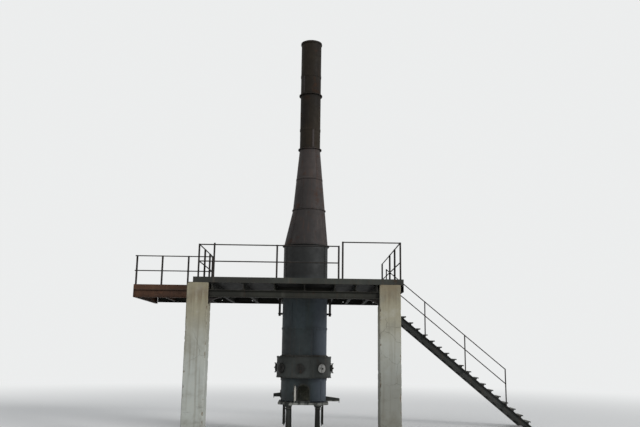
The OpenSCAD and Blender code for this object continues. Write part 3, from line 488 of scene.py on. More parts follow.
def brickwork(name, laid):
    """Firebrick, glazed and sooted. Laid bricks are meshes with a tone each; the rest gets joints."""
    s = Finish(name, (160, 156, 136))
    if laid:
        tone = s.node("Attribute", attribute_name="tone").outputs["Fac"]
    else:
        turn = s.math("ARCTAN2", s.x, s.times(s.y, -1.0))
        flat = s.node("CombineXYZ", s.times(turn, BORE_R), s.add(s.z, -PLATE_TOP)).outputs[0]
        dark, light, mortar = ((share, share, share, 1) for share in (0.1, 0.9, 0.3))
        bricks = s.node("TexBrick", flat, dark, light, mortar, Scale=1.0, Mortar_Size=0.003,
                        Brick_Width=2 * math.pi * BORE_R / BRICKS_ROUND, Row_Height=COURSE)
        tone = s.node("SeparateXYZ", bricks.outputs["Color"]).outputs["X"]
    s.coat((126, 122, 106), tone)
    mottle = s.noise(14.0, 7.0, 0.62)
    s.coat((100, 98, 86), s.step(mottle, 0.45, 0.7), 0.6)
    s.coat((84, 92, 82), s.add(0.3, s.spots(0.3, 0.65, 2.2, 5.0, 0.6), 0.35))
    glaze = s.times(s.spots(0.5, 0.62, 3.1, 6.0), s.step(s.z, 3.0, 1.4))
    s.coat((46, 54, 48), glaze, 0.5)
    height = s.times(mottle, 0.6)
    if not laid:
        s.coat((36, 34, 32), bricks.outputs["Fac"], 0.8)
        height = s.add(height, bricks.outputs["Fac"], -0.6)
    s.finish(s.add(0.85, glaze, -0.5), height, 0.004)


def fireclay(name):
    """Fireclay daubed by hand: pale and dry, with cracks and scorched patches."""
    s = Finish(name, (186, 184, 177))
    daub = s.noise(11.0, 5.0, 0.55)
    s.coat((158, 154, 146), s.step(daub, 0.35, 0.65))
    s.coat((96, 84, 72), s.spots(0.56, 0.7, 5.0, 6.0), 0.7)
    crack = s.times(s.cracks(13.0, 0.045, 0.5), s.spots(0.4, 0.55, 6.0, 3.0))
    s.coat((98, 90, 80), crack, 0.4)
    s.finish(0.92, s.add(daub, crack, -0.5), 0.004)


def run_slag(name):
    """Run slag: dark, glassy and blistered."""
    s = Finish(name, (44, 48, 44))
    flow = s.noise(30.0, 4.0)
    s.coat((30, 30, 29), s.step(flow, 0.35, 0.65))
    s.coat((78, 58, 46), s.spots(0.58, 0.7, 12.0, 5.0), 0.8)
    s.finish(s.add(0.08, flow, 0.5), flow, 0.003)


def make_finishes():
    """Every finish, under the name of its slot in the record or a name of its own."""
    steel("shell_steel", (58, 68, 70), (49, 54, 55), (76, 61, 52), 0.3, runs=0.3, dust=0.4, shine=0.3,
          change=plate_tones)
    steel("wind_steel", (66, 69, 67), (55, 57, 55), (80, 64, 54), 0.4, dust=0.6)
    steel("rusty_steel", (59, 53, 51), (48, 45, 44), (76, 55, 45), 0.5)
    steel("stack_steel", (40, 35, 28), (30, 27, 24), (56, 42, 32), 0.5, shine=0.08)
    steel("beam_steel", (50, 51, 46), (42, 42, 38), (66, 53, 43), 0.3, shine=0.1, under=0.8)
    steel("deck_steel", (60, 62, 58), (50, 50, 47), (72, 60, 50), 0.4, dust=0.45, shine=0.05, under=0.9,
          change=deck_wear)
    steel("rail_steel", (38, 35, 32), (30, 28, 27), (62, 46, 37), 0.4)
    steel("walkway_steel", (80, 55, 40), (60, 43, 34), (100, 68, 50), 0.5)
    steel("stair_steel", (60, 62, 60), (48, 50, 48), (76, 62, 52), 0.3, dust=0.9, change=worn_treads)
    steel("cast_iron", (52, 54, 51), (42, 43, 41), (68, 55, 46), 0.35, dust=0.8, change=ash_on_plate)
    steel("cover_iron", (46, 46, 44), (38, 37, 36), (70, 54, 44), 0.4, change=painted_cover_highlight)
    brickwork("firebrick", False)
    brickwork("laid_brick", True)
    fireclay("clay")
    run_slag("slag")
    plastered("plaster")


def dress_nodes():
    """Gives every CAD node the finish of its slot in the record. The stack has one of its own."""
    for part in frame["record"]["subparts"]:
        name = "stack_steel" if part["node"].startswith("stack_") else part["material_slot"]
        materials = NODES[part["node"]].data.materials
        materials.clear()
        materials.append(FINISHES[name])


def seat(point, out, up=UP):
    """Puts a shape at a point with its +Z looking out and its +Y as near to up as it goes."""
    z = Vector(out).normalized()
    y = Vector(up) - z * z.dot(Vector(up))
    y = y.normalized() if y.length > 1e-6 else z.orthogonal().normalized()
    matrix = Matrix((y.cross(z), y, z)).transposed().to_4x4()
    matrix.translation = Vector(point)
    return matrix


class Kit:
    """Many small parts on one body with one finish, gathered into one mesh."""

    def __init__(self):
        self.points = []
        self.faces = []
        self.smooth = []
        self.values = []

    def add(self, place, shape, smooth=False, value=0.0):
        points, faces = shape
        first = len(self.points)
        self.points += [place @ Vector(point) for point in points]
        self.faces += [[first + corner for corner in face] for face in faces]
        self.smooth += [smooth] * len(faces)
        self.values += [value] * len(points)

    def put(self, shape, point, out, up=UP, smooth=False):
        self.add(seat(point, out, up), shape, smooth)

    def build(self, name, slot, body="plant", finish=None, attribute=None):
        """Makes the piece. Its finish is its slot's, unless another is named."""
        mesh = bpy.data.meshes.new(name)
        mesh.from_pydata(self.points, [], self.faces)
        mesh.polygons.foreach_set("use_smooth", self.smooth)
        mesh.materials.append(FINISHES[finish or slot])
        if attribute:
            mesh.attributes.new(attribute, "FLOAT", "POINT").data.foreach_set("value", self.values)
        piece = bpy.data.objects.new(name, mesh)
        bpy.context.scene.collection.objects.link(piece)
        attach(piece, body)
        return piece


def joined(*parts):
    kit = Kit()
    for part in parts:
        kit.add(STILL, part)
    return kit.points, kit.faces


def loft(rings, closed=False):
    """Rings of as many points each, joined in order. Those that run anticlockwise, seen from
    above, are joined upwards. The end rings are filled or, if the loft is closed, joined."""
    count, total = len(rings[0]), len(rings)
    points = [point for ring in rings for point in ring]
    faces = []
    for row in range(total if closed else total - 1):
        here, there = row * count, (row + 1) % total * count
        for k in range(count):
            after = (k + 1) % count
            faces.append((here + k, here + after, there + after, there + k))
    if not closed:
        faces.append(tuple(reversed(range(count))))
        faces.append(tuple(range((total - 1) * count, total * count)))
    return points, faces


def turned(profile, sides, closed=False):
    """A profile of (radius, height) turned round Z: a ring if it is closed, or else a solid."""
    turns = [2 * math.pi * k / sides for k in range(sides)]
    return loft([[around(turn, radius, z) for turn in turns] for radius, z in profile], closed)


def curved_bar(profile, start, sweep, steps=48):
    """A profile of (radius, height) swept through a part of a turn, in degrees."""
    turns = [math.radians(start + sweep * k / steps) for k in range(steps + 1)]
    return loft([[around(turn, radius, z) for radius, z in reversed(profile)] for turn in turns])


def rivet_shape(radius):
    height = radius * 0.62
    return turned([(radius, -0.002), (radius * 0.97, height * 0.3), (radius * 0.72, height * 0.75),
                   (radius * 0.3, height)], 8)


def bolt_shape(radius, washer=True, stub=0.0):
    """A hexagon head or nut of that radius, on a washer, with a stub of thread past it."""
    thick = 0.2 * radius if washer else 0.0
    head = thick + 1.25 * radius
    parts = [turned([(radius, thick - 0.001), (radius, head - 0.15 * radius), (0.86 * radius, head)], 6)]
    if washer:
        parts.append(turned([(1.35 * radius, -0.001), (1.35 * radius, thick)], 12))
    if stub:
        parts.append(turned([(0.5 * radius, head - 0.001), (0.5 * radius, head + stub - 0.002),
                             (0.4 * radius, head + stub)], 8))
    return joined(*parts)


def flat_screw(radius, slot=0.0025, proud=0.002, steps=8):
    """A countersunk head that stands hardly proud, so that a door can shut over it."""
    first = math.asin(slot / (2 * radius))
    halves = []
    for side in (0.0, math.pi):
        arc = [side + first + (math.pi - 2 * first) * k / steps for k in range(steps + 1)]
        halves.append(loft([[(radius * math.cos(turn), radius * math.sin(turn), z) for turn in arc]
                            for z in (-0.001, proud)]))
    return joined(*halves)


def slab(x, y, z, chamfer=0.001):
    """A box centred on X and Y that stands on z = 0, with every edge chamfered."""
    box = bmesh.new()
    place = Matrix.Translation((0, 0, z / 2)) @ Matrix.Diagonal((x, y, z, 1))
    bmesh.ops.create_cube(box, size=1, matrix=place)
    bmesh.ops.bevel(box, geom=box.edges[:], offset=chamfer, segments=1, affect="EDGES")
    box.verts.index_update()
    shape = ([corner.co.copy() for corner in box.verts],
             [[corner.index for corner in face.verts] for face in box.faces])
    box.free()
    return shape


def round_at(angle, radius, z, middle_x=0.0, lean=0.0):
    """A seat on a round wall. A wall that leans in by that angle faces a little up."""
    out = away(angle) * math.cos(lean) + Vector((0, 0, math.sin(lean)))
    return seat(around(angle, radius, z, middle_x), out)


def ring_of(kit, shape, count, radius, z, middle_x=0.0, lean=0.0, out=0, shift=0.0, gaps=()):
    """A ring of rivets on a round wall or, with out 1 or -1, of bolts that point up or down.

    Each gap is a middle and a half width in degrees, and has no rivet or bolt."""
    for k in range(count):
        angle = 2 * math.pi * (k + shift) / count
        degrees = math.degrees(angle)
        if any(abs((degrees - middle + 180) % 360 - 180) < half for middle, half in gaps):
            continue
        if out:
            kit.put(shape, around(angle, radius, z, middle_x), (0, 0, out), away(angle))
        else:
            kit.add(round_at(angle, radius, z, middle_x, lean), shape, True)


def upright_strap(plates, rivets, degrees, foot, top, width=0.08, thick=0.008, pitch=0.075):
    """A riveted cover strap up a round or conical wall. foot and top are (radius, z, middle x)."""
    angle = math.radians(degrees)
    rows = 6
    rings = []
    for radius, z, middle_x in (foot, top):
        turns = [angle + (k / rows - 0.5) * width / radius for k in range(rows + 1)]
        outer = [around(turn, radius + thick, z, middle_x) for turn in turns]
        inner = [around(turn, radius - 0.002, z, middle_x) for turn in reversed(turns)]
        rings.append(outer + inner)
    plates.add(STILL, loft(rings))
    lean = math.atan2(foot[0] - top[0], top[1] - foot[1])
    count = max(2, round((top[1] - foot[1]) / pitch))
    for k in range(count):
        radius, z, middle_x = Vector(foot).lerp(Vector(top), (k + 0.5) / count)
        radius += thick
        for side in (-0.27, 0.27):
            rivets.add(round_at(angle + side * width / radius, radius, z, middle_x, lean), RIVET, True)


def cleat_on(cleats, bolts, spot, out, size, bolt, heights, shift=(0, 0, 0)):
    """A plate on a beam's web, with bolts at the heights over its middle, shifted along it."""
    spot, out = Vector(spot), Vector(out)
    cleats.put(slab(*size), spot, out)
    for height in heights:
        bolts.put(bolt, spot + Vector(shift) + out * size[2] + Vector((0, 0, height)), out)


RIVET = rivet_shape(0.011)
SMALL_RIVET = rivet_shape(0.008)
DECK_RIVET = rivet_shape(0.012)
BOLT = bolt_shape(0.012)
LARGE_BOLT = bolt_shape(0.017, stub=0.02)
STUD_NUT = bolt_shape(0.018, stub=0.035)
SMALL_BOLT = bolt_shape(0.0095, washer=False)


def dress_shell():
    """Cover straps, rivets and flange bolts of the furnace shell."""
    rivets, plates, bolts = Kit(), Kit(), Kit()
    for z, apart, radius, shift in ((SEAM_MID, 0.016, STRAP_R, 0.0), (SEAM_HIGH, 0.03, STRAP_R, 0.0),
                                    (WIND_LOW - 0.045, 0.02, BAND_R, 0.5)):
        for row in (z - apart, z + apart):
            ring_of(rivets, RIVET, 56, radius, row, shift=shift)
    foot = PLATE_TOP + FLANGE_T
    outside = SHELL_R + 0.008
    angle_iron = [(SHELL_R - 0.001, foot), (outside, foot), (outside, foot + 0.06),
                  (SHELL_R - 0.001, foot + 0.06)]
    for start, sweep in ((-76, 55), (21, 55), (104, 152)):
        plates.add(STILL, curved_bar(angle_iron, start, sweep), True)
    spouts = ((90, 13), (-90, 13), (0, 21))
    ring_of(rivets, RIVET, 56, outside, foot + 0.034, gaps=spouts)
    ring_of(bolts, BOLT, 28, SHELL_R + 0.03, foot, out=1, shift=0.5, gaps=spouts)
    for angles, start, end in (((52, -128), foot + 0.06, WIND_LOW - 0.09),
                               ((27, -153), WIND_TOP + 0.05, SEAM_MID - 0.03),
                               ((-36, 144), SEAM_MID + 0.03, SEAM_HIGH - 0.06),
                               ((61, -61), SEAM_HIGH + 0.06, SHELL_TOP - FLANGE_T)):
        for angle in angles:
            upright_strap(plates, rivets, angle, (SHELL_R, start, 0), (SHELL_R, end, 0))
    ring_of(bolts, BOLT, 28, SHELL_R + 0.027, SHELL_TOP - FLANGE_T, out=-1)
    rivets.build("shell_rivets", "shell_steel")
    plates.build("shell_straps", "shell_steel")
    bolts.build("shell_bolts", "cast_iron")


def neck_at(z):
    """(radius, z, middle x) of the hood's upper cone."""
    share = (z - HOOD_TOP) / (NECK_TOP - HOOD_TOP)
    return (NECK_R + (STACK_R - NECK_R) * share, z, STACK_X)


def dress_hood():
    """Seams and flange bolts of the hood and the stack."""
    rivets, plates, bolts = Kit(), Kit(), Kit()
    foot = (SHELL_R, SHELL_TOP + FLANGE_T, 0)
    top = (NECK_R, HOOD_TOP - FLANGE_T, STACK_X)
    for angle in (-48, 72, 192):
        upright_strap(plates, rivets, angle, foot, top, 0.07, 0.006)
    radius, band_z, _ = neck_at((HOOD_TOP + NECK_TOP) / 2)
    for angle, start, end in ((-30, HOOD_TOP + FLANGE_T, band_z - 0.035),
                              (40, band_z + 0.035, NECK_TOP - FLANGE_T)):
        for turn in (0, 180):
            upright_strap(plates, rivets, angle + turn, neck_at(start), neck_at(end), 0.07, 0.006)
    band = [(radius + 0.0065, -0.035), (radius + 0.0015, 0.035), (radius - 0.006, 0.035),
            (radius - 0.001, -0.035)]
    plates.add(Matrix.Translation((STACK_X, 0, band_z)), turned(band, 72, True), True)
    lean = math.atan2(NECK_R - STACK_R, NECK_TOP - HOOD_TOP)
    for row in (-0.017, 0.017):
        ring_of(rivets, SMALL_RIVET, 40, radius + 0.004 - row * 0.08, band_z + row, STACK_X, lean,
                shift=row * 15)
    for foot, top, angle in ((NECK_TOP, STACK_MID, 18), (STACK_MID, STACK_TOP, -42)):
        band_z = foot + 0.66
        head = top - (0.06 if top == STACK_TOP else FLANGE_T)
        for turn, start, end in ((0, foot + FLANGE_T, band_z - 0.04), (180, band_z + 0.04, head)):
            upright_strap(plates, rivets, angle + turn, (STACK_R, start, STACK_X),
                          (STACK_R, end, STACK_X), 0.06, 0.006)
        for row in (-0.02, 0.02):
            ring_of(rivets, SMALL_RIVET, 30, STACK_R + 0.007, band_z + row, STACK_X, shift=row * 12)
    ring_of(rivets, SMALL_RIVET, 24, STACK_R + 0.02, STACK_TOP - 0.03, STACK_X)
    ring_of(bolts, BOLT, 28, SHELL_R + 0.027, SHELL_TOP + FLANGE_T, out=1)
    small = bolt_shape(0.008, washer=False)
    for z, bolt, count, radius in ((HOOD_TOP, small, 24, NECK_R + 0.0145),
                                   (NECK_TOP, BOLT, 14, STACK_R + 0.028),
                                   (STACK_MID, BOLT, 14, STACK_R + 0.028)):
        for out in (1, -1):
            ring_of(bolts, bolt, count, radius, z + out * FLANGE_T, STACK_X, out=out)
    rivets.build("hood_rivets", "rusty_steel")
    plates.build("hood_straps", "rusty_steel")
    bolts.build("hood_bolts", "rusty_steel")


def dress_wind_box():
    """Rivets and bolts of the wind box, and the collar that seals its top to the shell."""
    rivets, plates, bolts = Kit(), Kit(), Kit()
    ring_of(rivets, RIVET, 68, WIND_R, WIND_LOW + 0.04)
    ring_of(rivets, RIVET, 68, WIND_R, WIND_TOP - 0.04, gaps=((180, 17),))
    collar = [(SHELL_R, WIND_TOP - 0.001), (SHELL_R + 0.055, WIND_TOP - 0.001),
              (SHELL_R + 0.055, WIND_TOP + 0.007), (SHELL_R + 0.012, WIND_TOP + 0.009),
              (SHELL_R + 0.008, WIND_TOP + 0.05), (SHELL_R, WIND_TOP + 0.05)]
    plates.add(STILL, turned(collar, 96, True), True)
    ring_of(rivets, RIVET, 56, SHELL_R + 0.009, WIND_TOP + 0.032)
    ring_of(bolts, BOLT, 30, SHELL_R + 0.036, WIND_TOP + 0.007, out=1)
    upright_strap(plates, rivets, 16, (WIND_R, WIND_LOW + FLANGE_T, 0),
                  (WIND_R, WIND_TOP - FLANGE_T, 0), 0.08, 0.007, 0.07)
    for z, out in ((WIND_LOW, -1), (WIND_TOP, 1)):
        ring_of(bolts, SMALL_BOLT, 36, WIND_R - 0.005, z, out=out, shift=0.5)
    dress_covers(bolts, plates)
    rivets.build("wind_box_rivets", "wind_steel")
    plates.build("wind_box_straps", "wind_steel")
    bolts.build("wind_box_bolts", "cover_iron", finish="cast_iron")


def dress_covers(bolts, plates):
    """Swing bolts at both ends of each clamp bar and a sighting tube on each boss."""
    z = (low("tuyere_covers").z + high("tuyere_covers").z) / 2
    reach = high("tuyere_covers").z - z - 0.014
    foot, bar_face, boss_face = WIND_R - 0.004, COVER_FACE + 0.012, COVER_FACE + 0.034
    stud = turned([(0.007, 0), (0.007, bar_face + 0.03 - foot)], 8)
    lug = slab(0.05, 0.034, 0.016, 0.003)
    ring = turned([(0.014, -0.001), (0.024, -0.001), (0.024, 0.006), (0.014, 0.006)], 20, True)
    glass = turned([(0.0145, 0.0), (0.0145, 0.003)], 20)
    for k in (0, 1, 2, 3, 5, 6, 7):
        angle = k * COVER_STEP + COVER_TURN
        side = away(angle)
        for end in (z - reach, z + reach):
            bolts.put(stud, around(angle, foot, end), side, (0.3, 1, 0.2), True)
            bolts.put(BOLT, around(angle, bar_face, end), side)
            plates.put(lug, around(angle, foot, end), side)
        bolts.put(ring, around(angle, boss_face, z), side, smooth=True)
        bolts.put(glass, around(angle, boss_face, z), side)


def dress_base():
    """Nuts on the feet, the caps and the bottom plate."""
    bolts = Kit()
    for name in ("leg_front_left", "leg_front_right", "leg_rear_left", "leg_rear_right"):
        x, y, _ = (low(name) + high(name)) / 2
        for i in (-1, 1):
            for j in (-1, 1):
                spin = (1, 0.3 * i * j, 0)
                bolts.put(STUD_NUT, (x + i * 0.11, y + j * 0.11, 0.03), UP, spin)
                cap = (x + i * 0.088, y + j * 0.088, high(name).z - 0.025)
                bolts.put(LARGE_BOLT, cap, DOWN, spin)
            bolts.put(LARGE_BOLT, (x + i * 0.088, y + math.copysign(0.088, y), PLATE_TOP), UP)
    bolts.build("base_bolts", "cast_iron")


def dress_mouth():
    """Bolts of the working opening's frame and of the charging opening's frame."""
    bolts = Kit()
    screw = flat_screw(0.011)
    front = -(SHELL_R + 0.05)
    radius = MOUTH_HALF + MOUTH_FRAME / 2
    for z in (MOUTH_SPRING - 0.25, MOUTH_SPRING - 0.14, MOUTH_SPRING - 0.03):
        for side in (-1, 1):
            bolts.put(screw, (side * radius, front, z), FRONT, (side, 0, 1))
    for degrees in (35, 90, 145):
        angle = math.radians(degrees)
        point = (radius * math.cos(angle), front, MOUTH_SPRING + radius * math.sin(angle))
        bolts.put(screw, point, FRONT, (1, 0, 0.4))
    for x in (-0.09, 0.09):
        bolts.put(screw, (x, front, MOUTH_FOOT - MOUTH_FRAME / 2), FRONT, (0.3, 0, 1))
    rim = Vector((0.035, 0, 0.035))
    first, last = low("charging_frame") + rim, high("charging_frame") - rim
    for k in range(6):
        x = first.x + (last.x - first.x) * k / 5
        for z in (first.z, last.z):
            bolts.put(BOLT, (x, last.y, z), REAR)
    for k in range(1, 6):
        z = first.z + (last.z - first.z) * k / 6
        for x in (first.x, last.x):
            bolts.put(BOLT, (x, last.y, z), REAR)
    bolts.build("frame_bolts", "cast_iron")


def arch_outline(half, foot, spring, steps=14):
    """Points (x, z) of an arched shape, from its lower left corner round to its lower right."""
    turns = [math.pi * (1 - k / steps) for k in range(steps + 1)]
    arch = [(half * math.cos(turn), spring + half * math.sin(turn)) for turn in turns]
    return [(-half, foot)] + arch + [(half, foot)]


def dress_working_door():
    """Clay lining on the working door's inner face, and rivets through its straps."""
    hinge = Vector(next(j for j in frame["joints"] if j["child"] == "working_door")["pos_m"])
    opened = (Matrix.Translation(hinge) @ Matrix.Rotation(-DOOR_OPEN, 4, "Z")
              @ Matrix.Translation(-hinge))
    door_half_t = 0.007
    loops = []
    for number, (inset, depth) in enumerate(((0.018, -0.001), (0.018, 0.014), (0.022, 0.019),
                                             (0.034, 0.022), (0.075, 0.023))):
        loop = []
        for x, z in arch_outline(MOUTH_HALF - inset, MOUTH_FOOT + inset, MOUTH_SPRING):
            rough = 0.004 * noise.noise(Vector((x, number, z)) * 24) if number > 1 else 0.0
            loop.append((x, hinge.y + door_half_t + depth - abs(rough), z))
        loops.append(loop)
    lining = Kit()
    lining.add(opened, loft(loops), True)
    lining.build("working_door_lining", "firebrick", "working_door", "clay")
    rivets = Kit()
    strap_face = hinge.y - door_half_t - 0.008
    for z in (MOUTH_FOOT + 0.085, MOUTH_SPRING + 0.08):
        for x in (-0.15, -0.09, 0.0, 0.09):
            rivets.add(opened @ seat((x, strap_face, z), FRONT), RIVET, True)
    rivets.build("working_door_rivets", "cast_iron", "working_door")


def trough(kit, first_x, last_x, z, fall, outer, inner, steps=14, sides=12):
    """A half pipe of clay that falls from first_x to last_x, open on top, with a rough bed."""
    start = Vector((first_x, 0, z - fall[0]))
    end = Vector((last_x, 0, z - fall[1]))
    along = (end - start).normalized()
    level = Vector(UP).cross(along).normalized()
    over = along.cross(level)
    rings = []
    for k in range(steps + 1):
        ring = []
        for radius, order in ((inner, range(sides + 1)), (outer, range(sides, -1, -1))):
            for j in order:
                turn = math.pi * (1 + j / sides)
                rough = 0.0
                if radius == inner:
                    rough = 0.004 * noise.noise(Vector((k * 0.9, j * 0.7, radius * 50)))
                side = level * math.cos(turn) + over * math.sin(turn)
                ring.append(start.lerp(end, k / steps) + side * (radius + rough))
        rings.append(ring)
    kit.add(STILL, loft(rings), True)


def dress_spouts():
    """Clay in the channels of the spouts, and slag that has run over their ends."""
    clay, slag = Kit(), Kit()
    first = SHELL_R + 0.004
    for side, end, rise, degrees, outer, inner, drop in (
        (1, high("tap_spout").x, 0.1, 1.5, 0.0545, 0.045, 0.062),
        (-1, low("slag_spout").x, 0.215, 3, 0.0445, 0.036, 0.052),
    ):
        z = PLATE_TOP + rise
        slope = math.sin(math.radians(degrees))
        reach = (0.11, 0.52) if side > 0 else (0.07, 0.29)
        trough(clay, side * first, end - side * 0.002, z, [slope * part for part in reach], outer, inner)
        for y, length, thick in ((-0.022, 0.05, 0.008), (0.004, 0.075, 0.011), (0.026, 0.035, 0.007)):
            drip = turned([(thick * 0.4, -length), (thick * 0.95, -0.85 * length),
                           (thick * 0.7, -0.5 * length), (thick, -0.012), (thick * 0.5, 0)], 10)
            slag.add(Matrix.Translation((end - side * 0.012, y, z - drop)), drip, True)
    clay.build("spout_linings", "firebrick", finish="clay")
    slag.build("slag_drips", "cast_iron", finish="slag")


def in_opening(x, y, z, half, rise):
    """True where a brick of that half width and half height would reach into an opening."""
    if y < 0 and abs(x) < MOUTH_HALF + half and PLATE_TOP + 0.05 - rise < z < PLATE_TOP + 0.52 + rise:
        return True
    if abs(y) < BLOCK_HALF + half:
        foot = PLATE_TOP if x > 0 else low("slag_block").z
        top = high("tap_block" if x > 0 else "slag_block").z
        if foot - rise < z < top + rise:
            return True
    first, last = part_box("charging_frame")
    in_height = first.z + 0.07 - rise < z < last.z - 0.07 + rise
    return y > 0 and abs(x) < last.x - 0.07 + half and in_height


def lay_lining():
    """Firebricks that stand a few millimetres proud of the shaft's wall, in broken courses."""
    draw = random.Random(11)
    bricks = Kit()
    shape = slab(0.1165, 0.071, 0.0085, 0.0022)
    for row in range(int((SHELL_TOP - PLATE_TOP) / COURSE)):
        z = PLATE_TOP + (row + 0.5) * COURSE
        for k in range(BRICKS_ROUND):
            turn = 2 * math.pi * (k + 0.5 * (row % 2)) / BRICKS_ROUND
            spot = around(turn, BORE_R + 0.002 + draw.uniform(0.0, 0.0035), z)
            lost = draw.random() < 0.03
            if not (lost or in_opening(*spot, 0.05, 0.04)):
                bricks.add(seat(spot, -away(turn)), shape, value=draw.random())
    bricks.build("lining_bricks", "firebrick", finish="laid_brick", attribute="tone")


def plaster_point(place, edge, inward):
    """A point of a pillar's wall, moved in by its wear and chips, and the chip's depth there."""
    depth = 0.0025 + 0.0025 * noise.noise(place * 1.7) + 0.010 * max(0.0, 1 - edge / 0.014) ** 2
    wear = math.exp(-((edge / 0.04) ** 2))
    rough = noise.noise(place * 7) + 0.5 * noise.noise(place * 21)
    chip = wear * max(0.0, rough - 0.22 + 0.12 * math.exp(-place.z)) * 0.055
    pit = noise.noise(place * 3.1 + Vector((7, 3, 1)))
    chip += max(0.0, pit - 0.62) * 0.05
    return place + inward * max(0.0, depth + chip), chip


def plaster_pillar(node):
    """A plastered pillar with rounded, chipped arrises and an uneven face."""
    first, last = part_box(node)
    middle = (first + last) / 2
    half = (last.x - first.x) / 2
    step = 0.0155
    across = round(2 * half / step)
    rows = round((last.z - first.z) / step)
    kit = Kit()
    rings = []
    for row in range(rows + 1):
        z = first.z + (last.z - first.z) * row / rows
        ring = []
        for k in range(4 * across):
            side, along = divmod(k, across)
            t = (along / across - 0.5) * 2 * half
            out = Vector((FRONT, (1, 0, 0), REAR, (-1, 0, 0))[side])
            offset = out * half + Vector((-out.y, out.x, 0)) * t
            edge = half - abs(t)
            inward = -offset.normalized() if edge < 0.02 else -out
            point, chip = plaster_point(Vector((middle.x, middle.y, z)) + offset, edge, inward)
            ring.append(point)
            kit.values.append(chip)
        rings.append(ring)
    kit.points, kit.faces = loft(rings)
    kit.smooth = [True] * (len(kit.faces) - 2) + [False, False]
    piece = kit.build(node + "_plaster", "plaster", attribute="chip")
    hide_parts(node)


def dress_platform():
    """Bolts and cleats of the platform's beams, seen from below."""
    bolts, cleats = Kit(), Kit()
    first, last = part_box("front_girder")
    for x in JOIST_XS + (0.0,):
        for dx in (-0.027, 0.027):
            for y in (GIRDER_Y - 0.045, GIRDER_Y + 0.045):
                bolts.put(BOLT, (x + dx, y, JOIST_LOW + BEAM_FLANGE_T), UP)
                bolts.put(BOLT, (x + dx, y, JOIST_LOW - 0.015), DOWN)
    middle_z = (first.z + last.z) / 2
    deep = last.z - first.z - 0.06
    for x, side in ((first.x, 1), (last.x, -1)):
        for face in (-1, 1):
            web = GIRDER_Y + face * 0.005
            cleat_on(cleats, bolts, (x + side * 0.0385, web, middle_z), (0, face, 0), (0.075, deep, 0.009),
                     BOLT, (-0.3 * deep, 0.0, 0.3 * deep), (side * 0.0065, 0, 0))
            cleats.put(slab(0.066, deep, 0.009), (x, web + face * 0.034, middle_z), (side, 0, 0))
    trim_low, trim_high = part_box("trimmers")
    mid = (trim_low.z + trim_high.z) / 2
    for x, side in ((trim_low.x, 1), (trim_high.x, -1)):
        for face in (-1, 1):
            for y in (-TRIMMER_Y, TRIMMER_Y):
                cleat_on(cleats, bolts, (x + side * 0.03, y + face * WEB_T / 2, mid), (0, face, 0),
                         (0.06, 0.13, CLEAT_T), SMALL_BOLT, (-0.04, 0.04), (side * 0.004, 0, 0))
    for x in JOIST_XS:
        for face in (-1, 1):
            cleat_on(cleats, bolts, (x + face * WEB_T / 2, high("joists").y - 0.035, mid), (face, 0, 0),
                     (0.066, 0.13, CLEAT_T), SMALL_BOLT, (-0.04, 0.04))
    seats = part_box("girder_seats")
    for inwards in (0.07, 0.17, 0.27):
        for x in (seats[0].x + inwards, seats[1].x - inwards):
            for y in (GIRDER_Y - 0.045, GIRDER_Y + 0.045):
                bolts.put(BOLT, (x, y, first.z + 0.015), UP)
    bolts.build("platform_bolts", "beam_steel")
    cleats.build("platform_cleats", "beam_steel")


def dress_walkway():
    """Cleats and bolts where the walkway's joists meet its front beam and the wall beam."""
    bolts, cleats = Kit(), Kit()
    first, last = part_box("walkway_joists")
    half_flange = 0.037
    beam_web = (low("walkway_beam").y + high("walkway_beam").y) / 2 + 0.0045
    mid = (first.z + last.z) / 2
    front_end = first.y + 0.07
    heights = (-0.032, 0.032)
    for x in (first.x + half_flange, last.x - half_flange):
        for face in (-1, 1):
            web = x + face * WEB_T / 2
            front = (beam_web + front_end) / 2
            cleat_on(cleats, bolts, (web, front, mid), (face, 0, 0), (front_end - beam_web, 0.11, CLEAT_T),
                     SMALL_BOLT, heights, (0, front_end - 0.025 - front, 0))
            cleat_on(cleats, bolts, (web, last.y - 0.035, mid), (face, 0, 0), (0.066, 0.11, CLEAT_T),
                     SMALL_BOLT, heights)
            leg = web + face * 0.033
            cleats.put(slab(0.066, 0.11, CLEAT_T), (leg, beam_web, mid), REAR)
            for height in heights:
                bolts.put(BOLT, (leg, beam_web - 0.009, mid + height), FRONT)
    # Plates that close the corners between the end beam's web and the beams that it meets
    first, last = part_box("walkway_end_beam")
    end_plate = slab(last.x - first.x - WEB_T, last.z - first.z - 0.03, 0.009)
    for y in (beam_web, last.y - 0.04):
        cleats.put(end_plate, ((first.x + WEB_T + last.x) / 2, y, (first.z + last.z) / 2), FRONT)
    bolts.build("walkway_bolts", "walkway_steel")
    cleats.build("walkway_cleats", "walkway_steel")


def dress_decks():
    """Rivets that hold the deck plates to the joists and trimmers, with their heads on the deck."""
    front, rear = low("deck_left").y + 0.08, high("deck_left").y - 0.04
    pitch = 0.16
    lines = [x + dx for x in JOIST_XS for dx in (-0.024, 0.024)]
    lines += [low("deck_left").x + 0.05, high("deck_right").x - 0.05]
    spots = [(x, front + k * pitch) for x in lines for k in range(int((rear - front) / pitch) + 1)]
    spots += [(-0.75 + k * 1.5 / 9, side * TRIMMER_Y + dy)
              for side in (-1, 1) for dy in (-0.024, 0.024) for k in range(10)]
    hole = SHELL_R + 0.09
    spots = [(x, y) for x, y in spots if math.hypot(x, y) > hole]
    first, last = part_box("walkway_deck")
    third = (last.x - first.x) / 3
    spots += [(x, first.y + 0.08 + k * 0.165)
              for x in (first.x + 0.04, first.x + third, first.x + 2 * third) for k in range(20)]
    rivets = Kit()
    for x, y in spots:
        rivets.put(DECK_RIVET, (x, y, DECK_Z), UP, smooth=True)
    rivets.build("deck_rivets", "deck_steel")


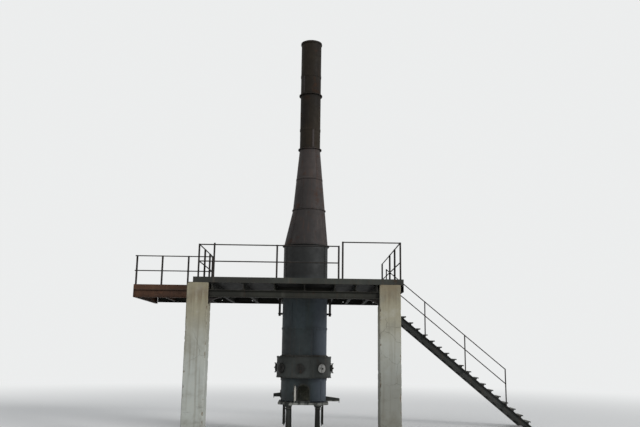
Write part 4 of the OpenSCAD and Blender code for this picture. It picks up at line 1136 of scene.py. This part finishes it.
def post_feet(node):
    """The middle of each post's foot, found as the groups of the railing's lowest points."""
    points = [vertex.co.copy() for vertex in NODES[node].data.vertices]
    floor = min(point.z for point in points)
    feet = []
    for point in points:
        if point.z > floor + 0.001:
            continue
        group = next((g for g in feet if (g[0] - point).length < 0.12), None)
        if group:
            group.append(point)
        else:
            feet.append([point])
    return [sum(group, Vector()) / len(group) for group in feet]


def dress_railings():
    """Weld beads where the posts stand on the deck."""
    beads = Kit()
    bead = slab(0.062, 0.062, 0.006, 0.005)
    for node in ("railing_front", "railing_gate", "railing_left", "railing_right", "walkway_railing"):
        for foot in post_feet(node):
            beads.add(Matrix.Translation(foot), bead)
    beads.build("post_welds", "rail_steel")


def dress_stair():
    """Bolts through the stringers into the treads' end plates, cleats and nuts at the foot, and
    bolts through the hanger plates."""
    bolts, cleats = Kit(), Kit()
    first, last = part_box("stair_treads")
    front_face = low("stair_stringer_front").y + 0.065 - WEB_T
    rear_face = low("stair_stringer_rear").y + WEB_T
    edge_x = high("deck_right").x
    for k in range(1, RISERS):
        z = DECK_Z * (1 - k / RISERS) - 0.055
        for dx in (0.06, 0.15):
            for y, out in ((front_face, FRONT), (rear_face, REAR), (first.y + 0.008, REAR),
                           (last.y - 0.008, FRONT)):
                bolts.put(SMALL_BOLT, (edge_x + (k - 1) * GOING + dx, y, z), out)
    foot_x = high("stair_stringer_front").x - 0.214
    for web, out in ((front_face, -1), (rear_face, 1)):
        for dx in (-0.04, 0.04):
            bolts.put(SMALL_BOLT, (foot_x + dx, web + out * CLEAT_T, 0.05), (0, out, 0))
        cleats.put(slab(0.14, 0.074, CLEAT_T), (foot_x, web, 0.037), (0, out, 0))
        cleats.put(slab(0.14, 0.055, CLEAT_T), (foot_x, web + out * 0.028, 0), UP, REAR)
        bolts.put(STUD_NUT, (foot_x, web + out * 0.034, CLEAT_T), UP)
        for z in (DECK_LOW - 0.095, DECK_LOW - 0.04):
            bolts.put(BOLT, (edge_x + 0.01, web + out * 0.03, z), (1, 0, 0))
    bolts.build("stair_bolts", "stair_steel")
    cleats.build("stair_cleats", "stair_steel")


bpy.context.scene.view_settings.view_transform = "Standard"
make_finishes()
dress_nodes()
dress_shell()
dress_hood()
dress_wind_box()
dress_base()
dress_mouth()
dress_working_door()
dress_spouts()
lay_lining()
plaster_pillar("pillar_left")
plaster_pillar("pillar_right")
dress_platform()
dress_walkway()
dress_decks()
dress_railings()
dress_stair()
make_camera()
make_light()
make_floor()
